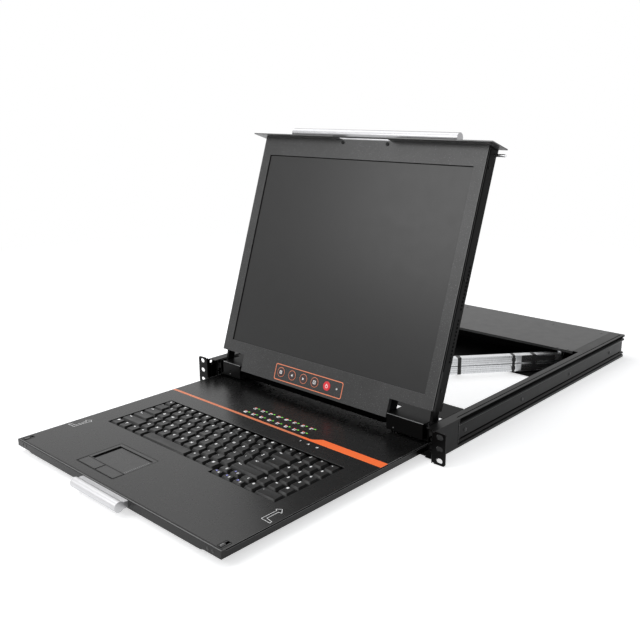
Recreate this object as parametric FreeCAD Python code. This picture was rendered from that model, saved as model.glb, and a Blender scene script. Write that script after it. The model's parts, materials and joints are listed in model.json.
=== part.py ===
import FreeCAD, Part
import os
from math import atan2, cos, degrees, hypot, radians, sin, sqrt, tan
from FreeCAD import Vector

# Rack console drawer: a keyboard tray and a folding screen that slide one above
# the other in a rack chassis one unit high.
# Millimetres. Origin: centre of the rack ears' hole pattern, on the face that
# bears on the rack posts. +X right, +Y into the rack, +Z up.
# The tray and the screen are both pulled out and the screen is open.

# --- rack interface -------------------------------------------------------
rack_width = 482.6
hole_inset = 8.75
hole_pitch_z = 15.875
slot_width = 7.0
slot_length = 10.0
ear_height = 43.6
ear_sheet = 2.0
ear_reach = 56.5
ear_corner = 3.0

# --- chassis --------------------------------------------------------------
ear_overhang = 19.3
chassis_depth = 586.0
rail_start = 4.0
rail_top = 20.0
rail_bottom = -20.6
rail_flange = 15.0
rail_sheet = 1.2
web_thickness = 1.6
web_recess = 3.8
rib_height = 3.6
bead_radius = 2.2
bead_overrun = 3.0
box_sheet = 1.2
hood_depth = 154.0
hood_edge = 9.6
hood_lip = 3.0
floor_depth = 210.0
socket_bay_depth = 86.0
rail_screw_first = 79.0
rail_screw_rear = 51.0
rail_screw_count = 4
rail_screw_radius = 2.8
rail_screw_head = 1.2
rail_screw_z = -2.5
hood_screw_inset = 5.5
hood_screw_rear = 18.0
hood_screw_edge = 10.4
hood_screw_pair = 19.0
hood_screw_radius = 2.4
hood_screw_head = 0.5
brace_front = 5.0
brace_rear = 28.0
brace_rise = 4.0

# --- slides ---------------------------------------------------------------
slide_space = 17.0
travel_allowance = 250.0
channel_front = 12.0
channel_half_height = 8.2
channel_depth = 7.4
channel_sheet = 1.2
lcd_slide_z = 9.0
tray_slide_z = -9.3
runner_front = 14.0
runner_web = 2.2
runner_nose = 5.2
glide_length = 18.0
slide_clearance = 0.2

# --- screen hinge and panel ----------------------------------------------
hinge_y = 29.4
hinge_z = 13.1
lean = 18.0
panel_drop = 20.0
panel_face = 16.0
panel_thickness = 22.0
panel_sheet = 1.4
bezel_depth = 6.0
shell_gap = 0.3
notch_left = 50.0
notch_right = 70.0
tab_drop = 26.0
bezel_side = 16.85
bezel_top = 28.26
screen_bottom = 18.2
panel_overrun = 11.5
module_border = 3.8
module_depth = 12.5
driver_board_inset = 55.0
driver_board_width = 120.0
driver_board_height = 100.0
driver_board_rise = 52.0
cover_end_gap = 2.0
cover_front = 16.0
cover_rear = -24.0
cover_sheet = 1.5
cover_notch_mouth = 49.5
cover_notch_root = 46.5
cover_notch_depth = 18.0
cover_lip = 8.0
stop_drop = 4.0
side_screw_low = 27.0
side_screw_radius = 1.9
side_screw_head = 0.5
side_screw_depth = 11.0
stop_radius = 2.6
stop_height = 1.0
stop_inset = 5.0
vent_size = 2.2
vent_pitch = 5.0
vent_count = 9
vent_start = 76.0
vent_w = -16.0

# --- handles --------------------------------------------------------------
lcd_handle_half = 152.5
lcd_handle_radius = 7.2
lcd_handle_w = -9.0
tray_handle_half = 46.0
tray_handle_radius = 6.4
handle_foot = 8.4
handle_foot_depth = 5.8
handle_neck_width = 4.6
tray_handle_drop = 0.6
tray_screw_setbacks = (12.5, 4.5)
tray_screw_radius = 1.9
tray_screw_head = 0.5
handle_rib_pitch = 1.2
handle_rib_count = 4
handle_rib_groove = 0.5
lcd_handle_foot_depth = 2.4

# --- screen controls ------------------------------------------------------
osd_v = -9.2
osd_button_u = (-69.3, -46.2, -22.8, -0.3, 23.7)
osd_button_radius = 6.6
osd_board_edge = 11.0
osd_board_depth = 3.8
osd_board_sheet = 1.6
osd_post_radius = 1.6
osd_collar_depth = 1.2
osd_chamfer = 0.3
osd_button_proud = 0.6
osd_collar = 0.7
osd_travel = 0.8
osd_led_u = 42.6
osd_led_radius = 1.5
running_clearance = 0.05
seat_gap = 0.3
lock_pin_radius = 2.0
lock_pin_reach = 16.0
lock_pin_tail = 9.0
lock_pin_drop = 8.5
lock_pin_w = -18.4
lock_pin_guide = 12.0

# --- hinge ----------------------------------------------------------------
hinge_arm_gap = 1.7
hinge_arm_sheet = 4.2
hinge_eye = 7.0
hinge_pin_radius = 3.0
hinge_arm_rise = 62.0

# --- screen carriage ------------------------------------------------------
carriage_rear = 94.0
carriage_sheet = 1.4
carriage_bottom = -2.5
pocket_front = 11.8
pocket_edge = 8.5
pocket_tab_gap = 2.0
pocket_rear = 48.0

# --- keyboard tray --------------------------------------------------------
tray_front_gap = 0.5
tray_rear = 84.0
tray_top = -5.0
tray_bottom = -14.0
tray_sheet = 1.2
pan_sheet = 1.0
skirt_corner = 28.0
skirt_bevel = 5.0
skirt_step = 1.6

# --- keyboard -------------------------------------------------------------
key_edge_left = 36.5
key_edge_right = 33.0
key_rear_place = 222.5
key_depth = 109.0
arrow_overhang = 8.0
keys_across = 18.4
key_top = -4.3
key_body = 4.0
key_travel = 2.0
key_gap = 1.4
key_taper = 1.8
key_stem = 3.0
stem_reach = 0.5
base_top = -10.4
row_pitch = 18.3
key_margin = 1.0
block_keys = 3.11
arrow_block_gap = 2.5
function_key_count = 17
function_row_depth = 15.8
row_lead_keys = (1.2, 1.64, 1.9, 2.4)
row_key_count = (12, 12, 11, 10)

# --- touchpad -------------------------------------------------------------
pad_left = -90.0
pad_right = -10.0
pad_front_margin = 16.5
pad_depth = 67.0
pad_border = 6.0
pad_corner = 1.8
pad_rim = 1.0
pad_divider = 2.0
pad_recess = 1.0
pad_button_depth = 17.0
pad_travel = 0.4
pad_floor = 1.4

# --- tray latches and lights ----------------------------------------------
latch_edge = 8.0
latch_setback = 11.5
latch_slot_length = 13.0
latch_slot_width = 4.0
latch_length = 7.0
latch_travel = 5.0
light_pitch = 16.3
light_first_x = -50.0
light_row_rises = (60.0, 43.0)
light_columns = 8
light_length = 7.0
light_width = 1.6
status_lights = (80.0, 95.0, 110.0)
status_rise = 18.5
light_proud = 0.1
light_board_z = -7.6

# --- cable arms -----------------------------------------------------------
arm_height = 13.3
arm_width = 12.8
arm_sheet = 1.2
arm_half_gap = 0.5
arm_pivot_edge = 25.4
arm_lead = 16.0
arm_front_y = 92.0
rear_arm_length = 226.0
lcd_arm_bottom = -2.6
tray_arm_bottom = -17.3
arm_pin_radius = 2.5
elbow_pin_radius = 2.0
elbow_eye = 5.5
arm_body_start = 7.2
arm_tongue = 1.5
strap_thickness = 0.5
strap_width = 6.0
cable_margin = 1.8
cable_start_gap = 16.0
cable_end_gap = 9.0
cable_wall_gap = 1.6
cable_round = 2.5
strap_share = 0.2
strap_end_gap = 2.0
arm_bracket_half = 12.0
arm_tongue_reach = 7.0
arm_collar_radius = 3.5
arm_post_radius = 5.0
grommet_radius = 8.0
grommet_offset = 40.0
arm_window_start = 44.0
arm_window_end = 12.0

# --- rear sockets ---------------------------------------------------------
socket_columns = 8
socket_lead = 27.5
socket_row_z = (-8.5, 8.5)
socket_flange_width = 30.8
socket_flange_height = 12.5
socket_flange = 1.0
socket_body_width = 18.0
socket_body_height = 10.0
socket_body_depth = 10.0
socket_nose_width = 16.3
socket_nose_height = 8.3
socket_nose_taper = 1.4
socket_nose_corner = 1.1
socket_nose_length = 5.8
jack_screw_offset = 12.5
jack_screw_flat = 4.8
jack_screw_length = 5.0
console_inset = 15.4
inlet_inset = 19.4
inlet_width = 27.0
inlet_height = 20.0
inlet_depth = 16.0
inlet_wall = 1.8
blade_width = 2.0
blade_height = 4.0
blade_length = 11.0
blade_pitch = 7.0
rocker_offset = 32.0
rocker_width = 15.0
rocker_height = 21.0
rocker_tilt = 10.0
rocker_frame = 1.5
rocker_flange_x = 1.5
rocker_flange_z = 1.0
rocker_flange_sheet = 1.6
rocker_sleeve_depth = 14.0
rocker_hollow_depth = 12.0
trunnion_radius = 1.2
board_lift = 4.5
board_sheet = 1.6
board_edge = 9.0
board_gap = 1.0
board_post = 5.0
supply_gap = 7.0
supply_board_width = 86.0
capacitor_radius = 8.0
capacitor_height = 20.0
transformer_width = 28.0
chip_width = 20.0
chip_pitch = 60.0
chip_count = 4

# --- derived sizes --------------------------------------------------------
hood_front = chassis_depth - hood_depth
floor_front = chassis_depth - floor_depth
inner_wall_y = chassis_depth - socket_bay_depth
slide_travel = chassis_depth - travel_allowance
tray_front = -slide_travel - tray_front_gap
key_rear = tray_front + key_rear_place
key_front = key_rear - key_depth
key_front_low = key_front - arrow_overhang
pad_front = tray_front + pad_front_margin
pad_rear = pad_front + pad_depth
latch_y = tray_front + latch_setback
light_rows = [key_rear + rise for rise in light_row_rises]
status_y = key_rear + status_rise
hole_pitch_x = rack_width - 2 * hole_inset
half = rack_width / 2 - ear_overhang
module_half = half - slide_space
web_outer = half - web_recess
web_inner = web_outer - web_thickness
flange_inner = half - rail_flange
hood_half_width = flange_inner - hood_edge
panel_back = panel_face - panel_thickness
console_x = hood_half_width - console_inset
inlet_x = inlet_inset - hood_half_width
rocker_x = inlet_x + rocker_offset
socket_first_x = rocker_x + socket_lead
socket_pitch = (console_x - socket_first_x) / socket_columns
arm_pivot_x = hood_half_width - arm_pivot_edge
arm_front_x = arm_pivot_x - arm_lead
arm_offset = arm_half_gap + arm_width / 2
arm_pivot_y = arm_front_y + slide_travel + 2 * arm_offset
front_arm_length = rear_arm_length - arm_lead
ear_inner = half - ear_sheet
cover_half_width = ear_inner - cover_end_gap
tab_left = notch_left - module_half
tab_right = module_half - notch_right
screen_width = 2 * (module_half - bezel_side)
panel_height = slide_travel + panel_overrun
screen_height = panel_height - screen_bottom - bezel_top
lock_pin_v = panel_height - lock_pin_drop
pocket_outer = module_half - pocket_edge
pocket_left_inner = pocket_tab_gap - tab_left
pocket_right_inner = pocket_tab_gap + tab_right
hinge_arm_inner = pocket_outer + hinge_arm_gap
skirt_step_outer = module_half - skirt_corner
skirt_step_inner = skirt_step_outer - skirt_bevel
key_left = key_edge_left - module_half
key_right = module_half - key_edge_right
key_pitch = (key_right - key_left) / keys_across
main_keys_end = key_right - block_keys * key_pitch
key_split = main_keys_end - block_keys * key_pitch
latch_x = module_half - latch_edge
floor_sheet = box_sheet - 0.2
box_floor = rail_bottom + floor_sheet
board_top = box_floor + board_lift + board_sheet
rocker_y = chassis_depth - 1.5
pan_top = tray_bottom + pan_sheet
tray_front_stowed = tray_front + slide_travel


def box(x0, x1, y0, y1, z0, z1):
    """Block between two corners."""
    return Part.makeBox(x1 - x0, y1 - y0, z1 - z0, Vector(x0, y0, z0))


def outline_x(points, x0, x1):
    """Prism of a (y, z) outline from x0 to x1."""
    loop = [Vector(x0, y, z) for y, z in points]
    face = Part.Face(Part.makePolygon(loop + loop[:1]))
    return face.extrude(Vector(x1 - x0, 0, 0))


def outline_y(points, y0, y1):
    """Prism of an (x, z) outline from y0 to y1."""
    loop = [Vector(x, y0, z) for x, z in points]
    face = Part.Face(Part.makePolygon(loop + loop[:1]))
    return face.extrude(Vector(0, y1 - y0, 0))


def outline_z(points, z0, z1):
    """Prism of an (x, y) outline from z0 to z1."""
    loop = [Vector(x, y, z0) for x, y in points]
    face = Part.Face(Part.makePolygon(loop + loop[:1]))
    return face.extrude(Vector(0, 0, z1 - z0))


def rod_x(radius, x0, x1, y, z):
    """Round bar along X."""
    return Part.makeCylinder(radius, x1 - x0, Vector(x0, y, z), Vector(1, 0, 0))


def rod_y(radius, y0, y1, x, z):
    """Round bar along Y."""
    return Part.makeCylinder(radius, y1 - y0, Vector(x, y0, z), Vector(0, 1, 0))


def rod_z(radius, z0, z1, x, y):
    """Round bar along Z."""
    return Part.makeCylinder(radius, z1 - z0, Vector(x, y, z0), Vector(0, 0, 1))


def round_edges(solid, radius, wanted):
    """Fillet the edges that the test picks."""
    edges = [edge for edge in solid.Edges if wanted(edge)]
    return solid.makeFillet(radius, edges)


def upright(edge):
    """True for an edge along Z."""
    ends = [vertex.Point for vertex in edge.Vertexes]
    return len(ends) == 2 and abs(ends[0].x - ends[1].x) + abs(ends[0].y - ends[1].y) < 1e-6


def along_x(edge):
    """True for an edge along X."""
    ends = [vertex.Point for vertex in edge.Vertexes]
    return len(ends) == 2 and abs(ends[0].y - ends[1].y) + abs(ends[0].z - ends[1].z) < 1e-6


def along_y(edge):
    """True for an edge along Y."""
    ends = [vertex.Point for vertex in edge.Vertexes]
    return len(ends) == 2 and abs(ends[0].x - ends[1].x) + abs(ends[0].z - ends[1].z) < 1e-6


def rounded_box(x0, x1, y0, y1, z0, z1, radius):
    """Block with its four upright edges rounded."""
    return round_edges(box(x0, x1, y0, y1, z0, z1), radius, upright)


def joined(shapes):
    """One solid from several that touch."""
    solid = shapes[0].fuse(shapes[1:])
    return solid.removeSplitter()


def mirrored(shape):
    """The left-hand copy of a right-hand piece."""
    return shape.mirror(Vector(0, 0, 0), Vector(1, 0, 0))


def both_sides(shape):
    """A right-hand piece and its left-hand copy."""
    return [shape, mirrored(shape)]


def save(name, solids):
    """Write one node, a single solid or a group of them."""
    group = solids if isinstance(solids, list) else [solids]
    flat = [solid for shape in group for solid in shape.Solids]
    for solid in flat:
        if not solid.isValid() or solid.Volume <= 0:
            print("CHECK", name, solid.isValid(), solid.Volume)
    shape = flat[0] if len(flat) == 1 else Part.makeCompound(flat)
    shape.exportStep("parts/" + name + ".step")
    nodes.append(name)


# --- chassis --------------------------------------------------------------
def lock_hole_place():
    """Where a locking pin comes to rest in the rack ear, as (y, z)."""
    y = hinge_y + slide_travel - (lock_pin_v + panel_drop)
    z = hinge_z - (lock_pin_w + panel_face)
    return y, z


def side_rail():
    """Right-hand rail: an extrusion with a recessed web between two ribs."""
    rib_low = rail_top - rib_height
    foot_high = rail_bottom + rib_height
    groove = 1.2
    profile = [
        (flange_inner, rail_top), (half, rail_top), (half, rib_low), (web_outer, rib_low - groove),
        (web_outer, foot_high + groove), (half, foot_high), (half, rail_bottom),
        (flange_inner, rail_bottom), (flange_inner, rail_bottom + rail_sheet),
        (web_inner, rail_bottom + rail_sheet), (web_inner, rail_top - rail_sheet),
        (flange_inner, rail_top - rail_sheet),
    ]
    rail = outline_y(profile, rail_start, chassis_depth)
    beads = []
    for z in (rib_low - 6.4, foot_high + 2.6):
        beads.append(rod_y(bead_radius, rail_start, chassis_depth + bead_overrun, web_outer, z))
    rail = joined([rail] + beads)
    inside = box(flange_inner, web_inner, rail_start, chassis_depth + bead_overrun,
                 rail_bottom + rail_sheet, rail_top - rail_sheet)
    rail = rail.cut(inside)
    seat = box(ear_inner, half + 1, rail_start - 1, ear_reach, rail_bottom - 1, rail_top + 1)
    pin_y, pin_z = lock_hole_place()
    slack = lock_pin_radius + 2.5
    notch = box(web_inner - 1, half + 1, rail_start - 1, pin_y + slack, pin_z - slack,
                rail_top - rail_sheet)
    return rail.cut(seat).cut(notch)


def rack_ear():
    """Right-hand ear: folded sheet with three rack slots and a side plate."""
    low = -ear_height / 2
    high = ear_height / 2
    front = box(ear_inner, rack_width / 2, -ear_sheet, 0, low, high)
    side = box(ear_inner, half, -ear_sheet, ear_reach, rail_bottom, rail_top)
    ear = joined([front, side])

    def bend(edge):
        x = edge.BoundBox.XMin
        y = edge.BoundBox.YMin
        return upright(edge) and abs(x - ear_inner) < 1e-6 and abs(y + ear_sheet) < 1e-6

    ear = round_edges(ear, 1.6, bend)

    def outer_corner(edge):
        x = edge.BoundBox.XMin
        z = edge.BoundBox.ZMin
        return along_y(edge) and abs(x - rack_width / 2) < 1e-6 and abs(abs(z) - high) < 1e-6

    ear = round_edges(ear, ear_corner, outer_corner)
    run = (slot_length - slot_width) / 2
    for z in (-hole_pitch_z, 0, hole_pitch_z):
        x = hole_pitch_x / 2
        slot = box(x - run, x + run, -ear_sheet - 1, 1, z - slot_width / 2, z + slot_width / 2)
        for end in (x - run, x + run):
            slot = slot.fuse(rod_y(slot_width / 2, -ear_sheet - 1, 1, end, z))
        ear = ear.cut(slot)
    for z in (low, high):
        ear = ear.cut(rod_y(1.6, -ear_sheet - 1, 1, half + 1.2, z))
    pin_y, pin_z = lock_hole_place()
    return ear.cut(rod_x(lock_pin_radius + 1.0, ear_inner - 1, half + 1, pin_y, pin_z))


def front_brace():
    """Folded strip that ties the rails together under the tray."""
    low = rail_bottom + rail_sheet
    floor = box(-web_inner, web_inner, brace_front, brace_rear, low, low + rail_sheet)
    span = module_half - 1.5
    wall = box(-span, span, brace_front, brace_front + rail_sheet, low, low + brace_rise)
    return joined([floor, wall])


def rear_box_base():
    """Floor, sides, inner wall and socket wall of the rear housing."""
    low = rail_bottom
    side = flange_inner - box_sheet
    floor = box(-flange_inner, flange_inner, floor_front, chassis_depth, low, box_floor)
    pieces = [floor]
    for sign in (-1, 1):
        outer = sorted((sign * side, sign * flange_inner))
        top = sorted((sign * (hood_half_width + seat_gap), sign * flange_inner))
        pieces.append(box(outer[0], outer[1], hood_front + 2, chassis_depth, low, rail_top))
        pieces.append(box(top[0], top[1], hood_front + 2, chassis_depth, rail_top - box_sheet, rail_top))
    pieces.append(box(-flange_inner, flange_inner, inner_wall_y, inner_wall_y + box_sheet, low,
                      rail_top - box_sheet))
    pieces.append(box(-flange_inner, flange_inner, chassis_depth - box_sheet, chassis_depth, low, rail_top))
    base = joined(pieces)
    grommet = rod_y(grommet_radius, inner_wall_y - 1, inner_wall_y + 3, arm_pivot_x - grommet_offset, 0)
    return base.cut([grommet] + socket_cutouts())


def socket_places():
    """Centres of the device sockets and of the console socket."""
    places = []
    for column in range(socket_columns):
        for z in socket_row_z:
            places.append((socket_first_x + column * socket_pitch, z))
    return places + [(console_x, 0.0)]


def wall_block(x, z, width, height, y0, y1):
    """Block square to the rear wall, centred on (x, z)."""
    return box(x - width / 2, x + width / 2, y0, y1, z - height / 2, z + height / 2)


def socket_cutouts():
    """Holes in the rear wall for everything that is mounted in it."""
    y0 = chassis_depth - box_sheet - 1
    y1 = chassis_depth + 1
    cuts = []
    for x, z in socket_places():
        cuts.append(wall_block(x, z, socket_body_width + 2 * seat_gap, socket_body_height + 2 * seat_gap,
                               y0, y1))
    cuts.append(wall_block(inlet_x, 0, inlet_width, inlet_height, y0, y1))
    cuts.append(wall_block(rocker_x, 0, rocker_width + 2 * rocker_frame, rocker_height + 2 * rocker_frame,
                           y0, y1))
    return cuts


def rear_box_cover():
    """Flat hood with a stiffening lip along its front edge."""
    low = rail_top - box_sheet
    top = box(-hood_half_width, hood_half_width, hood_front, chassis_depth - box_sheet - seat_gap,
              low, rail_top)
    lip = box(-hood_half_width, hood_half_width, hood_front, hood_front + box_sheet, low - hood_lip, low)
    return joined([top, lip])


def rear_box_boards():
    """Power supply and switch boards on posts on the housing's floor."""
    y0 = inner_wall_y + supply_gap
    y1 = chassis_depth - box_sheet - board_gap
    left = board_edge - flange_inner
    split = left + supply_board_width
    spans = ((left, split), (split + supply_gap, flange_inner - board_edge))
    boards = []
    for x0, x1 in spans:
        pieces = [box(x0, x1, y0, y1, board_top - board_sheet, board_top)]
        inset = board_post
        for x in (x0 + inset, (x0 + x1) / 2, x1 - inset):
            for y in (y0 + inset, y1 - inset):
                pieces.append(box(x - board_post / 2, x + board_post / 2, y - board_post / 2,
                                  y + board_post / 2, box_floor, board_top - board_sheet))
        boards.append(pieces)
    supply, switch = boards
    middle = y0 + 1.8 * capacitor_radius
    supply.append(rod_z(capacitor_radius, board_top, board_top + capacitor_height,
                        left + 1.5 * capacitor_radius, middle))
    supply.append(box(split - transformer_width - board_post, split - board_post, y0 + board_post,
                      y0 + board_post + transformer_width, board_top, board_top + capacitor_height))
    for index in range(chip_count):
        x = split + board_edge + supply_gap + index * chip_pitch
        switch.append(box(x, x + chip_width, middle, middle + chip_width, board_top, board_top + board_gap))
    return [joined(pieces) for pieces in boards]


def hex_post(x, z, flat, y0, y1):
    """Hexagonal post along Y."""
    reach = flat / sqrt(3)
    turns = [radians(60 * step) for step in range(6)]
    points = [(x + reach * cos(turn), z + reach * sin(turn)) for turn in turns]
    return outline_y(points, y0, y1)


def device_socket(x, z):
    """D-shaped monitor and keyboard socket with its flange and jack screws."""
    wall = chassis_depth
    top = socket_nose_height / 2
    wide = socket_nose_width / 2
    lean_in = socket_nose_taper
    soft = socket_nose_corner
    nose_points = [(x - wide, z + top - soft), (x + lean_in - wide, z + soft - top),
                   (x + lean_in + soft - wide, z - top), (x + wide - lean_in - soft, z - top),
                   (x + wide - lean_in, z + soft - top), (x + wide, z + top - soft),
                   (x + wide - soft, z + top), (x + soft - wide, z + top)]
    nose = outline_y(nose_points, wall, wall + socket_flange + socket_nose_length)
    pieces = [nose]
    pieces.append(wall_block(x, z, socket_flange_width, socket_flange_height, wall, wall + socket_flange))
    pieces.append(wall_block(x, z, socket_body_width, socket_body_height, wall - socket_body_depth, wall))
    for side in (-1, 1):
        pieces.append(hex_post(x + side * jack_screw_offset, z, jack_screw_flat, wall + socket_flange,
                               wall + socket_flange + jack_screw_length))
    return joined(pieces)


def power_inlet():
    """Appliance inlet: a flanged tray with its lower corners cut off and three flat pins."""
    wall = chassis_depth
    flange = wall_block(inlet_x, 0, inlet_width + 8, inlet_height + 4, wall, wall + 2)
    body = wall_block(inlet_x, 0, inlet_width - 2 * seat_gap, inlet_height - 2 * seat_gap,
                      wall - inlet_depth - 2, wall)
    wide = inlet_width / 2 - inlet_wall
    high = inlet_height / 2 - inlet_wall
    chamfer = 4.0
    mouth = [(inlet_x - wide, high), (inlet_x - wide, chamfer - high), (inlet_x - wide + chamfer, -high),
             (inlet_x + wide - chamfer, -high), (inlet_x + wide, chamfer - high), (inlet_x + wide, high)]
    back = wall - inlet_depth
    tray = joined([flange, body]).cut(outline_y(mouth, back, wall + 3))
    blades = [wall_block(inlet_x + side * blade_pitch, -1.0, blade_width, blade_height, back,
                         back + blade_length) for side in (-1, 1)]
    blades.append(wall_block(inlet_x, 3.0, blade_width, blade_height, back, back + blade_length))
    return joined([tray] + blades)


def switch_frame():
    """Snap-in frame of the power switch."""
    wall = chassis_depth
    width = rocker_width + 2 * rocker_frame
    height = rocker_height + 2 * rocker_frame
    face = wall_block(rocker_x, 0, width + 2 * rocker_flange_x, height + 2 * rocker_flange_z, wall,
                      wall + rocker_flange_sheet)
    sleeve = wall_block(rocker_x, 0, width - 2 * seat_gap, height - 2 * seat_gap,
                        wall - rocker_sleeve_depth, wall)
    hollow = wall_block(rocker_x, 0, rocker_width, rocker_height, wall - rocker_hollow_depth, wall + 3)
    hole = rod_x(trunnion_radius + running_clearance, rocker_x - width, rocker_x + width, rocker_y, 0)
    return joined([face, sleeve]).cut(hollow).cut(hole)


def power_switch():
    """Rocker with a shallow V face, tipped to one side, on two trunnions."""
    reach = rocker_height / 2 - 3 * seat_gap
    dip = 1.9
    crest = dip + reach * tan(radians(rocker_tilt))
    points = [(crest, reach), (dip, 0), (crest, -reach), (-4, seat_gap - reach), (-6, 0),
              (-4, reach - seat_gap)]
    width = rocker_width / 2 - seat_gap
    body = outline_x(points, -width, width)
    body = joined([body, rod_x(trunnion_radius, -width - 1, width + 1, 0, 0)])
    body.rotate(Vector(0, 0, 0), Vector(1, 0, 0), rocker_tilt)
    body.translate(Vector(rocker_x, rocker_y, 0))
    return body


def chassis_screws():
    """Screw heads on the rails' webs and on the hood."""
    heads = []
    pitch = (chassis_depth - rail_screw_rear - rail_screw_first) / (rail_screw_count - 1)
    for index in range(rail_screw_count):
        y = rail_screw_first + index * pitch
        head = Part.makeCylinder(rail_screw_radius, rail_screw_head, Vector(web_outer, y, rail_screw_z),
                                 Vector(1, 0, 0))
        heads += both_sides(head)
    front = hood_front + hood_screw_inset
    rear = chassis_depth - hood_screw_rear
    corner = hood_half_width - hood_screw_edge
    for x, y in ((corner - hood_screw_pair, front), (corner, front), (corner / 2, rear), (corner, rear)):
        head = Part.makeCylinder(hood_screw_radius, hood_screw_head, Vector(x, y, rail_top), Vector(0, 0, 1))
        heads += both_sides(head)
    return heads


# --- slides ---------------------------------------------------------------
def channel(z):
    """Right-hand slide channel on the rail's web, with retaining lips."""
    outer = web_inner
    inner = outer - channel_depth
    top = channel_half_height
    sheet = channel_sheet
    lip = 2.4
    profile = [
        (outer, z + top), (inner, z + top), (inner, z + top - sheet - lip),
        (inner + sheet, z + top - sheet - lip), (inner + sheet, z + top - sheet),
        (outer - sheet, z + top - sheet), (outer - sheet, z - top + sheet),
        (inner + sheet, z - top + sheet), (inner + sheet, z - top + sheet + lip),
        (inner, z - top + sheet + lip), (inner, z - top), (outer, z - top),
    ]
    return outline_y(profile, channel_front, hood_front)


def runner(z, rear):
    """Right-hand T-shaped runner on the side of a sliding module."""
    web = module_half + runner_web
    nose = web_inner - channel_sheet - slide_clearance - 0.8
    profile = [
        (module_half, z - 4.6), (web, z - 4.6), (web, z - runner_nose / 2), (nose, z - runner_nose / 2),
        (nose, z + runner_nose / 2), (web, z + runner_nose / 2), (web, z + 4.6), (module_half, z + 4.6),
    ]
    return outline_y(profile, runner_front, rear)


def glides(z, rear):
    """Right-hand pair of nylon blocks that fill the channel round the runner's nose."""
    inner = web_inner - channel_depth + channel_sheet + slide_clearance
    outer = web_inner - channel_sheet - slide_clearance
    reach = channel_half_height - channel_sheet - slide_clearance
    nose = web_inner - channel_sheet - slide_clearance - 0.8
    blocks = []
    for y0 in (runner_front + 1, rear - glide_length - 1):
        block = box(inner, outer, y0, y0 + glide_length, z - reach, z + reach)
        slot = box(inner - 1, nose, y0 - 1, y0 + glide_length + 1, z - runner_nose / 2, z + runner_nose / 2)
        blocks.append(block.cut(slot))
    return blocks


# --- screen carriage ------------------------------------------------------
def carriage_plate():
    """Folded sheet: rear deck, side cheeks and the two front pockets."""
    top = hinge_z + panel_thickness - panel_face
    sheet = carriage_sheet
    deck = box(-module_half, module_half, pocket_rear, carriage_rear, top - sheet, top)
    pieces = [deck]
    for sign, inner in ((-1, pocket_left_inner), (1, pocket_right_inner)):

        def side(a, b, y0, y1, z0, z1):
            low, high = sorted((sign * a, sign * b))
            return box(low, high, y0, y1, z0, z1)

        pieces.append(side(inner, pocket_outer, pocket_front, pocket_front + sheet, carriage_bottom, top))
        pieces.append(side(inner, pocket_outer, pocket_front, pocket_rear, top - sheet, top))
        pieces.append(side(inner, inner + sheet, pocket_front, pocket_rear, carriage_bottom, top))
        pieces.append(side(pocket_outer - sheet, pocket_outer, pocket_front, pocket_rear, carriage_bottom,
                           top))
        pieces.append(side(inner, module_half, pocket_front + sheet, pocket_rear, carriage_bottom,
                           carriage_bottom + sheet))
        pieces.append(side(module_half - sheet, module_half, pocket_front + sheet, carriage_rear,
                           carriage_bottom, top))
    plate = joined(pieces)
    for sign in (-1, 1):
        low, high = sorted((sign * (pocket_outer - 3), sign * (module_half + 1)))
        plate = plate.cut(rod_x(hinge_pin_radius, low, high, hinge_y, hinge_z))
    return plate


def hinge_pins():
    """Steel pivot pins with a washer each side of the hinge arm."""
    solids = []
    arm_outer = hinge_arm_inner + hinge_arm_sheet
    pin = rod_x(hinge_pin_radius, pocket_outer - carriage_sheet, module_half, hinge_y, hinge_z)
    head = rod_x(hinge_pin_radius + 1.8, pocket_outer - carriage_sheet - 2, pocket_outer - carriage_sheet,
                 hinge_y, hinge_z)
    inner = rod_x(hinge_pin_radius + 2.4, pocket_outer, hinge_arm_inner - seat_gap, hinge_y, hinge_z)
    outer = rod_x(hinge_pin_radius + 2.4, arm_outer + seat_gap, module_half - carriage_sheet, hinge_y,
                  hinge_z)
    solids += both_sides(joined([pin, head, inner, outer]))
    return solids


# --- screen panel, built upright with the hinge axis at the origin --------
def slab(u0, u1, w0, w1, v0, v1):
    """Block in panel terms: across, out of the face, up the face."""
    return box(u0, u1, -panel_face - w1, -panel_face - w0, panel_drop + v0, panel_drop + v1)


def panel_prism(points, w0, w1):
    """Prism of a (u, v) outline between two depths."""
    return outline_y([(u, panel_drop + v) for u, v in points], -panel_face - w1, -panel_face - w0)


def panel_pin(radius, w0, w1, u, v):
    """Round bar square to the panel's face."""
    return rod_y(radius, -panel_face - w1, -panel_face - w0, u, panel_drop + v)


def leaned(shape):
    """Lean a panel piece back and carry it to the hinge."""
    turned = shape.copy()
    turned.rotate(Vector(0, 0, 0), Vector(1, 0, 0), -lean)
    turned.translate(Vector(0, hinge_y, hinge_z))
    return turned


def panel_outline(inset):
    """Panel outline with its two hinge notches, drawn in by a sheet's thickness."""
    side = module_half - inset
    top = panel_height - inset
    left = tab_left + inset
    right = tab_right - inset
    low = -tab_drop + inset
    return [(-side, inset), (left, inset), (left, low), (right, low), (right, inset), (side, inset),
            (side, top), (-side, top)]


def lcd_bezel():
    """Front frame: sheet face with folded edges, screen window and button holes."""
    shell = panel_prism(panel_outline(0), -bezel_depth, 0)
    hollow = panel_prism(panel_outline(panel_sheet), -bezel_depth - 1, -panel_sheet)
    window = slab(-screen_width / 2, screen_width / 2, -bezel_depth, 1, screen_bottom,
                  screen_bottom + screen_height)
    bezel = shell.cut(hollow).cut(window)
    for u in osd_button_u:
        bezel = bezel.cut(panel_pin(osd_button_radius + seat_gap, -panel_sheet - 1, 1, u, osd_v))
    bezel = bezel.cut(panel_pin(osd_led_radius + running_clearance, -panel_sheet - 1, 1, osd_led_u, osd_v))
    return bezel


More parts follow.
